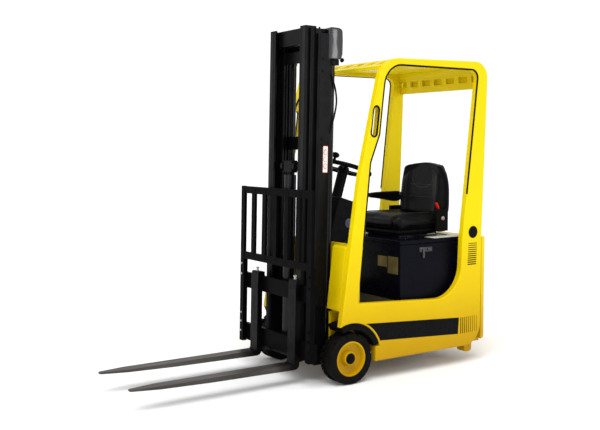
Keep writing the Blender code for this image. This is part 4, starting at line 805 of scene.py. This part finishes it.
shell = as_piece(foam_block(tuple(BACK_LOW), tuple(BACK_HIGH), (12, 2, 16), shell_form), "seat_back_shell",
                 rubber("shell_plastic", (0.003, 0.0035, 0.0055), 0.36), "seat_back", crease=0.0)
rounded_off(shell, "smooth_shell", 1)

# Piping and seams are laid on the finished foam so that they follow its crown.
bpy.context.view_layer.update()
finished_foam = bpy.context.evaluated_depsgraph_get()


def laid_on(piece, points, direction):
    """Where each point, sent along a direction, meets the piece."""
    target = piece.evaluated_get(finished_foam)
    heading = Vector(direction)
    casts = [target.ray_cast(Vector(point) - heading * 0.15, heading, distance=0.4) for point in points]
    return [place for hit, place, _, _ in casts if hit]


def cord_on(work, piece, points, direction, radius):
    """A thin round bead along the points, laid on the piece."""
    swept(work, oval(radius, radius, 7), laid_on(piece, points, direction), side=(0.31, 0.42, 0.85))


work = bmesh.new()
INTO_BACK, DOWN = (0, 1, 0), (0, 0, -1)
panel = []
for step in range(41):
    angle = math.pi * step / 40
    panel.append((0.098 * math.cos(angle), BACK_LOW.y, BACK_HIGH.z - 0.110 - 0.070 * math.sin(angle) ** 0.8))
top_left = [(0.088, BACK_LOW.y, BACK_HIGH.z - 0.030), (0.094, BACK_LOW.y, BACK_HIGH.z - 0.07)]
panel = [*top_left, *panel, *((-x, y, z) for x, y, z in reversed(top_left))]
cord_on(work, back, panel, INTO_BACK, 0.0019)
for sign in (-1, 1):
    wing_seam = [(sign * (0.135 + 0.012 * math.sin(math.pi * step / 24)), BACK_LOW.y,
                  BACK_LOW.z + 0.10 + 0.30 * step / 24) for step in range(25)]
    cord_on(work, back, wing_seam, INTO_BACK, 0.0015)
    bolster = [(sign * 0.150, CUSHION_LOW.y + 0.03 + 0.31 * step / 24, CUSHION_HIGH.z) for step in range(25)]
    cord_on(work, cushion, bolster, DOWN, 0.0017)
cross_seam = [(-0.148 + 0.296 * step / 24, CUSHION_LOW.y + 0.105, CUSHION_HIGH.z) for step in range(25)]
cord_on(work, cushion, cross_seam, DOWN, 0.0015)
for level in (0.19, 0.27):
    rib = [(-0.11 + 0.22 * step / 20, BACK_LOW.y, BACK_LOW.z + level) for step in range(21)]
    cord_on(work, back, rib, INTO_BACK, 0.0010)
as_piece(work, "seat_piping", vinyl("piping_vinyl", (0.045, 0.045, 0.048), 0.38), "seat_cushion", crease=0.0)

eased("seat_pan", dark_paint("seat_frame_paint", (0.004, 0.004, 0.0045), 0.38), 0.0014)
work = bmesh.new()
pan_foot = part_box("seat_pan")[0][2]
rail_y = CUSHION_LOW.y + 0.09
for sign in (-1, 1):
    slab(work, (sign * 0.13 - 0.024, rail_y, pan_foot + 0.0005),
         (sign * 0.13 + 0.024, rail_y + 0.31, pan_foot + 0.009), 0.002)
    lathed(work, [(0.013, 0), (0.013, 0.004), (0.009, 0.007), (0.004, 0.0075), (0, 0.0075)],
           (sign * 0.2368, BACK_LOW.y + 0.015, 0.912), (sign, 0, 0), 20)
as_piece(work, "seat_rails_and_pivots", zinc_steel, "seat_pan")
work = bmesh.new()
BELLOWS_Z, FOLD = 0.8062, 0.0036
for fold in range(6):
    inset = 0.004 if fold % 2 else 0.0
    slab(work, (-0.175 + inset, CUSHION_LOW.y + 0.075 + inset, BELLOWS_Z + FOLD * fold),
         (0.175 - inset, CUSHION_HIGH.y - 0.05 - inset, BELLOWS_Z + FOLD * (fold + 1) + 0.0006), 0.0012, 1)
as_piece(work, "seat_bellows", edging_rubber, "seat_pan")
work = bmesh.new()
turn = Matrix.Translation((0.205, BACK_LOW.y + 0.005, 0.975)) @ Matrix.Rotation(math.radians(28), 4, "X")
slab(work, (-0.009, -0.006, -0.005), (0.009, 0.006, 0.040), 0.003, turn=turn)
as_piece(work, "belt_buckle_button", rubber("signal_red_plastic", (0.55, 0.02, 0.01), 0.35), "seat_pan")

ARM_LOW, ARM_HIGH = (Vector(corner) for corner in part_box("seat_armrest"))
ARM_MIDDLE_X = -0.2508
ARM_SECTIONS = ((0.0, 0.048, 0.060), (0.04, 0.036, 0.070), (0.25, 0.030, 0.074), (0.5, 0.018, 0.076),
                (0.72, 0.004, 0.077), (0.86, 0.002, 0.078), (0.95, 0.012, 0.074), (1.0, 0.030, 0.058))


def squared(part):
    """A circle's coordinate pushed out towards a square with round corners."""
    return math.copysign(abs(part) ** 0.55, part)


work = bmesh.new()
last_edges = []
for share, low_z, high_z in ARM_SECTIONS:
    y = ARM_LOW.y + (ARM_HIGH.y - ARM_LOW.y) * share
    half = 0.0225 if 0.02 < share < 0.98 else 0.015
    middle_z, half_high = ARM_LOW.z + (low_z + high_z) / 2, (high_z - low_z) / 2
    ring = [work.verts.new((ARM_MIDDLE_X + half * squared(a), y, middle_z + half_high * squared(b)))
            for a, b in oval(1.0, 1.0, 12)]
    edges = [work.edges.new((ring[index - 1], vert)) for index, vert in enumerate(ring)]
    if last_edges:
        bmesh.ops.bridge_loops(work, edges=last_edges + edges)
    else:
        work.faces.new(ring)
    last_edges = edges
bmesh.ops.edgeloop_fill(work, edges=last_edges)
arm = as_piece(work, "armrest_pad", seat_vinyl, "seat_armrest", crease=0.0)
rounded_off(arm, "round_pad", 2)
turned("armrest_pivot", zinc_steel, "seat_armrest", [(0.016, 0), (0.016, 0.004), (0.009, 0.006), (0, 0.0065)],
       (ARM_HIGH.x - 0.0035, ARM_HIGH.y - 0.025, ARM_HIGH.z - 0.025), (1, 0, 0), 20)
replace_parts(arm, "seat_armrest")

# ---------------------------------------------------------------- wheels
# Solid press-on rubber tyres with cut shoulder lugs on dished steel rims, lemon like the body,
# and a blind black axle cap in the middle. The drive wheel under the tail is smooth and smaller.
tyre_rubber = rubber("tyre_rubber_dusty", (0.0040, 0.0037, 0.0034), 0.66)


TYRE_RADIUS, TYRE_HALF, RIM_RADIUS = 0.150, 0.060, 0.1025
LUGS, LUG_DEPTH, LUG_LENGTH = 22, 0.0085, 0.036


def lugged_tyre(piece_name, node, centre):
    """A lathed tyre whose shoulders are raised in blocks, staggered from side to side."""
    tread = TYRE_RADIUS - LUG_DEPTH
    shoulder = [(RIM_RADIUS + 0.0004, 0.008), (RIM_RADIUS + 0.006, 0.001), (RIM_RADIUS + 0.014, 0.0),
                (TYRE_RADIUS - 0.026, 0.0), (TYRE_RADIUS - 0.017, 0.002), (tread - 0.002, 0.008),
                (tread, 0.016), (tread, 0.034)]
    profile = [(r, inward - TYRE_HALF) for r, inward in shoulder]
    profile += [(r, TYRE_HALF - inward) for r, inward in reversed(shoulder)]
    work = bmesh.new()
    lathed(work, profile, centre, (1, 0, 0), LUGS * 3)
    bmesh.ops.recalc_face_normals(work, faces=work.faces)
    blocks = []
    for face in work.faces:
        middle = face.calc_center_median() - centre
        turn = math.atan2(middle.z, middle.y) / math.tau * LUGS + (0.5 if middle.x > 0 else 0.0)
        outer = math.hypot(middle.y, middle.z) > TYRE_RADIUS - 0.019
        if abs(middle.x) > TYRE_HALF - LUG_LENGTH and outer and turn % 1.0 < 0.6667:
            blocks.append(face)
    for vert in fresh_verts(bmesh.ops.extrude_face_region(work, geom=blocks)):
        out = Vector((0, vert.co.y - centre.y, vert.co.z - centre.z))
        vert.co += out.normalized() * min(LUG_DEPTH, TYRE_RADIUS - out.length)
    bmesh.ops.delete(work, geom=blocks, context="FACES")
    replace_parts(as_piece(work, piece_name, tyre_rubber, node, crease=28.0), node)


RIM_HALF = 0.052
RIM_PROFILE = [(0.0223, 0.020 - RIM_HALF), (0.050, 0.020 - RIM_HALF), (0.090, -RIM_HALF), (0.1020, -RIM_HALF)]
RIM_PROFILE += [(r, RIM_HALF + out) for r, out in (
    (0.1022, 0.0), (0.0985, 0.0015), (0.0935, 0.001), (0.0915, -0.003), (0.0900, -0.020), (0.0860, -0.030),
    (0.0760, -0.036), (0.0600, -0.040), (0.0480, -0.038), (0.0420, -0.028), (0.0400, -0.010),
    (0.0375, -0.0065), (0.0340, -0.006), (0.0320, -0.009), (0.0223, -0.010))] + RIM_PROFILE[:1]
AXLE_CAP = [(r, RIM_HALF + out) for r, out in (
    (0.0310, -0.0092), (0.0300, -0.004), (0.0240, -0.001), (0.0120, 0.001), (0, 0.0015))]
for side_name, sign in (("left", 1), ("right", -1)):
    low, high = (Vector(corner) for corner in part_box(f"tyre_front_{side_name}"))
    centre = (low + high) / 2
    lugged_tyre(f"tyre_{side_name}_lugged", f"tyre_front_{side_name}", centre)
    work = bmesh.new()
    lathed(work, [(r, height * sign) for r, height in RIM_PROFILE], centre, (1, 0, 0), 72)
    rim = as_piece(work, f"rim_{side_name}_dished", enamel, f"rim_front_{side_name}", crease=30.0)
    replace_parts(rim, f"rim_front_{side_name}")
    turned(f"axle_cap_{side_name}", moulded_black, f"rim_front_{side_name}", AXLE_CAP, centre,
           (sign, 0, 0), 32)
eased("tyre_rear", tyre_rubber, 0.002, crease=30.0)
eased("hub_rear", enamel, 0.001, crease=30.0)
eased("drive_unit", worn_steel("drive_casting", (0.035, 0.035, 0.037), 0.5), 0.0015, crease=30.0)

# ---------------------------------------------------------------- mast
# Three nested pairs of rolled channels in satin black, leaning a little back; rollers run on
# bright tracks inside the flanges. Lift cylinders stand behind the outer channels.
MAST_LEAN = math.radians(1.3)
mast_foot = Vector((0.0, FRONT_AXLE_Y, WHEEL_R))
mast_turn = (Matrix.Translation(mast_foot) @ Matrix.Rotation(-MAST_LEAN, 4, "X")
             @ Matrix.Translation(-mast_foot))
mast_black = dark_paint("mast_black", (0.0025, 0.0025, 0.0030), 0.34, 0.03, 0.06)
carriage_black = dark_paint("carriage_black", (0.0016, 0.0016, 0.0020), 0.42, 0.005, 0.02)
oiled_black = dark_paint("cylinder_black", (0.0035, 0.0035, 0.0055), 0.20, 0.12, 0.15)
rod_chrome = worn_steel("rod_chrome", (0.62, 0.64, 0.68), 0.13, 0.05)
for node in ("mast_outer", "mast_middle", "mast_inner", "lift_crosshead"):
    eased(node, mast_black, 0.0016, crease=30.0)
for node in ("lift_cylinder_left", "lift_cylinder_right", "free_lift_cylinder",
             "tilt_cylinder_left", "tilt_cylinder_right"):
    eased(node, oiled_black, 0.0010, crease=30.0)
for node in ("tilt_rod_left", "tilt_rod_right"):
    eased(node, rod_chrome, 0.0008, crease=30.0)

# Each channel pair: half its width, its front face, the foot of its painted sheen strip and that strip's
# width.
CHANNELS = (("mast_outer", 0.246, -0.047, 0.19, 0.01872), ("mast_middle", 0.214, -0.079, 0.20, 0.01872),
            ("mast_inner", 0.190, -0.111, 0.21, 0.0342))
MAST_TOP = 2.050
sheen_grey_paint = dark_paint("flange_sheen_paint", (0.013, 0.013, 0.014), 0.5, 0.0, 0.08)
track_steel = worn_steel("track_steel", (0.30, 0.31, 0.34), 0.25)


def mast_piece(work, piece_name, finish, node="mast_outer"):
    """The work, made upright, leant back with the mast."""
    bmesh.ops.transform(work, verts=work.verts, matrix=mast_turn)
    return as_piece(work, piece_name, finish, node)


# Painted sheen: lighter grey strips along the outer edge of each channel's front face stand in for the bright
# reflection there.
for node, half, face_y, foot_z, sheen_width in CHANNELS:
    work = bmesh.new()
    for sign in (-1, 1):
        x_low, x_high = sorted((sign * (half - 0.0025), sign * (half - sheen_width)))
        slab(work, (x_low, face_y - 0.0009, foot_z), (x_high, face_y + 0.0004, MAST_TOP), 0.0004, 1)
    mast_piece(work, node + "_painted_sheen_faces", sheen_grey_paint, node)
for node, half, face_y, *_ in CHANNELS:
    work = bmesh.new()
    for sign in (-1, 1):
        x_low, x_high = sorted((sign * (half - 0.012), sign * (half - 0.0126)))
        slab(work, (x_low, face_y + 0.0225, 0.35), (x_high, face_y + 0.0300, 1.99))
    mast_piece(work, node + "_roller_track", track_steel, node)

# Bolt heads on the outer channels, where the cross members and the cylinder clamps are fixed.
OUTER_SIDE = CHANNELS[0][1]
work = bmesh.new()
for sign in (-1, 1):
    for z in (0.42, 0.60, 0.78, 1.38, 1.41, 1.80, 1.87):
        lathed(work, [(0.0085, 0), (0.0085, 0.004), (0.0070, 0.0052), (0, 0.0052)],
               (sign * OUTER_SIDE, -0.020, z), (sign, 0, 0), 6)
mast_piece(work, "mast_side_bolts", mast_black)

# A glossy moulded guard over the hose sheave, screwed to the back of the left channel's top.
GUARD_WIDTH, GUARD_SIDE = 0.074, 0.249
GUARD_OUTLINE = ((0.012, 1.872), (0.012, 2.046), (0.030, 2.056), (0.086, 2.056), (0.104, 2.050),
                 (0.112, 2.036), (0.115, 1.98), (0.114, 1.905), (0.106, 1.880), (0.090, 1.872))
work = bmesh.new()
plate_face = work.faces.new([work.verts.new((GUARD_SIDE - GUARD_WIDTH, y, z)) for y, z in GUARD_OUTLINE])
grown = bmesh.ops.extrude_face_region(work, geom=[plate_face])
bmesh.ops.translate(work, verts=fresh_verts(grown), vec=(GUARD_WIDTH, 0, 0))
bmesh.ops.recalc_face_normals(work, faces=work.faces)
bmesh.ops.bevel(work, geom=work.edges[:], offset=0.009, segments=4, affect="EDGES", profile=0.5, material=-1,
                clamp_overlap=True)
mast_piece(work, "sheave_guard", dark_paint("sheave_guard_black", (0.004, 0.004, 0.008), 0.07, 0.6, 0.4))
work = bmesh.new()
lathed(work, [(0.006, 0), (0.006, 0.008), (0.013, 0.012), (0.013, 0.022), (0.008, 0.027), (0, 0.027)],
       (0.225, 0.113, 1.886), (0, 0.7, -0.7), 18)
slab(work, (0.196, 0.036, 1.840), (0.240, 0.094, 1.872), 0.003)
mast_piece(work, "sheave_guard_knob", mast_black)

# Hydraulic hoses: black rubber over braid with black pressed ends, clamped to the mast at both ends.
hose_rubber = rubber("hose_rubber", (0.008, 0.008, 0.009), 0.5)


def smooth_run(corners, steps):
    """Even points on a smooth curve through the corners."""
    corners = [Vector(corner) for corner in corners]
    ends = [corners[0] * 2 - corners[1], *corners, corners[-1] * 2 - corners[-2]]
    points = []
    for index in range(1, len(ends) - 2):
        p0, p1, p2, p3 = ends[index - 1:index + 3]
        for step in range(steps):
            t = step / steps
            points.append(0.5 * ((2 * p1) + (p2 - p0) * t + (2 * p0 - 5 * p1 + 4 * p2 - p3) * t * t
                                 + (3 * p1 - p0 - 3 * p2 + p3) * t ** 3))
    return points + [corners[-1]]


HOSES = {
    "side_hose": (0.0105, [(0.234, 0.036, 1.795), (0.236, 0.052, 1.760), (0.238, 0.072, 1.700),
                           (0.240, 0.080, 1.630), (0.239, 0.070, 1.560), (0.236, 0.052, 1.490),
                           (0.234, 0.040, 1.450)]),
    "cross_hose": (0.0120, [(0.185, 0.094, 1.800), (0.12, 0.100, 1.775), (0.02, 0.106, 1.745),
                            (-0.09, 0.108, 1.715), (-0.17, 0.106, 1.68), (-0.215, 0.100, 1.62),
                            (-0.225, 0.094, 1.56)]),
}
for hose_name, (diameter, corners) in HOSES.items():
    path = [mast_turn @ point for point in smooth_run(corners, 8)]
    work = bmesh.new()
    swept(work, oval(diameter / 2, diameter / 2, 12), path)
    hose = as_piece(work, hose_name, hose_rubber, "mast_outer", crease=40.0)
    work = bmesh.new()
    for end, inward in ((path[0], path[1]), (path[-1], path[-2])):
        lathed(work, [(0, -0.004), (0.0085, -0.004), (0.0085, 0.012), (0.0075, 0.016),
                      (diameter / 2 + 0.0002, 0.017)], end, inward - end, 12)
    ends = as_piece(work, hose_name + "_ends", mast_black, "mast_outer")

# A plain white label with red edging on the left channel; the drawing on it is three plain curls.
LABEL_FRONT, LABEL_REAR, LABEL_FOOT, LABEL_TOP = -0.014, 0.022, 1.217, 1.373
EDGE = 0.0035                        # width of the red edging at the ends
work = bmesh.new()
slab(work, (OUTER_SIDE - 0.0001, LABEL_FRONT, LABEL_FOOT), (OUTER_SIDE + 0.0005, LABEL_REAR, LABEL_TOP))
mast_piece(work, "mast_label", rubber("label_white", (0.75, 0.73, 0.70), 0.4))
work = bmesh.new()
for low_z, high_z in ((LABEL_FOOT, LABEL_FOOT + EDGE), (LABEL_TOP - EDGE, LABEL_TOP)):
    slab(work, (OUTER_SIDE + 0.0003, LABEL_FRONT, low_z), (OUTER_SIDE + 0.0008, LABEL_REAR, high_z))
for low_y, high_y in ((LABEL_FRONT, LABEL_FRONT + 0.0025), (LABEL_REAR - 0.0025, LABEL_REAR)):
    slab(work, (OUTER_SIDE + 0.0003, low_y, LABEL_FOOT), (OUTER_SIDE + 0.0008, high_y, LABEL_TOP))
for centre_z, sweep in ((1.255, 1), (1.295, -1), (1.335, 1)):
    turns = [sweep * math.radians(40 + 26 * step) for step in range(11)]
    curl = [(OUTER_SIDE + 0.0006, 0.004 + 0.011 * math.cos(turn), centre_z + 0.015 * math.sin(turn))
            for turn in turns]
    swept(work, [(-0.0002, -0.0016), (0.0002, -0.0016), (0.0002, 0.0016), (-0.0002, 0.0016)], curl)
mast_piece(work, "mast_label_marks", rubber("label_red", (0.45, 0.05, 0.03), 0.4))

# ---------------------------------------------------------------- carriage, backrest and forks
# Welded plate carriage and grille in black paint, with the grille's end plates bolted on; forged
# forks rubbed to grey-brown steel on the blade and heel, held by spring pins on the top bar.
for node in ("fork_carriage", "load_backrest"):
    eased(node, carriage_black, 0.0018, crease=30.0)
(_, grille_front, grille_foot), (grille_side, *_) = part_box("load_backrest")
for side_name, sign in (("left", 1), ("right", -1)):
    work = bmesh.new()
    for z in (0.215, 0.275, 0.330, 0.575, 0.640):
        y = grille_front + 0.0015 + 0.023 * (z - grille_foot)
        lathed(work, [(0.0075, 0.0), (0.0075, 0.0045), (0.0062, 0.0058), (0, 0.0058)],
               (sign * (grille_side - 0.018), y, z), (0, -1, 0), 6)
    as_piece(work, f"grille_bolts_{side_name}", zinc_steel if sign < 0 else carriage_black, "load_backrest")


def fork_steel_finish():
    """Forged steel: painted black high on the shank, rubbed to brown-grey along the blade."""
    material, tree, shader, place = bare_finish("forged_fork_steel", (0.05, 0.046, 0.043), 0.42, 0.35, 0.06)
    split = tree.nodes.new("ShaderNodeSeparateXYZ")
    tree.links.new(place, split.inputs["Vector"])
    blade = graded(tree, split.outputs["Y"], 1.0, 0.0, (-0.32, -0.20))
    rub = tree.nodes.new("ShaderNodeMath")
    rub.operation = "MULTIPLY"
    tree.links.new(blade, rub.inputs[0])
    tree.links.new(graded(tree, mottle(tree, place, 9.0, 7.0, (1.0, 0.25, 1.0)), 0.55, 1.0), rub.inputs[1])
    tree.links.new(shades(tree, rub.outputs["Value"], [
        (0.0, (0.0022, 0.0022, 0.0026)), (0.45, (0.026, 0.024, 0.022)), (1.0, (0.085, 0.078, 0.072))]),
        shader.inputs["Base Color"])
    roughened(tree, shader, mottle(tree, place, 40.0, 6.0, (1.0, 0.08, 1.0)), 0.30, 0.55)
    relief(tree, shader, mottle(tree, place, 150.0, 5.0), 0.0003, 0.35)
    return material


FORK_PIN = [(0.0085, -0.004), (0.0085, 0.006), (0.0060, 0.008), (0.0060, 0.014), (0.0105, 0.016),
            (0.0105, 0.023), (0.006, 0.0255), (0, 0.0255)]
fork_finish = fork_steel_finish()
for side_name in ("left", "right"):
    node = f"fork_{side_name}"
    eased(node, fork_finish, 0.0022, crease=30.0)
    low, high = (Vector(corner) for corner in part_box(node))
    turned(f"fork_pin_{side_name}", zinc_steel, node, FORK_PIN,
           ((low.x + high.x) / 2, high.y - 0.030, high.z - 0.001), (0, 0, 1), 18)
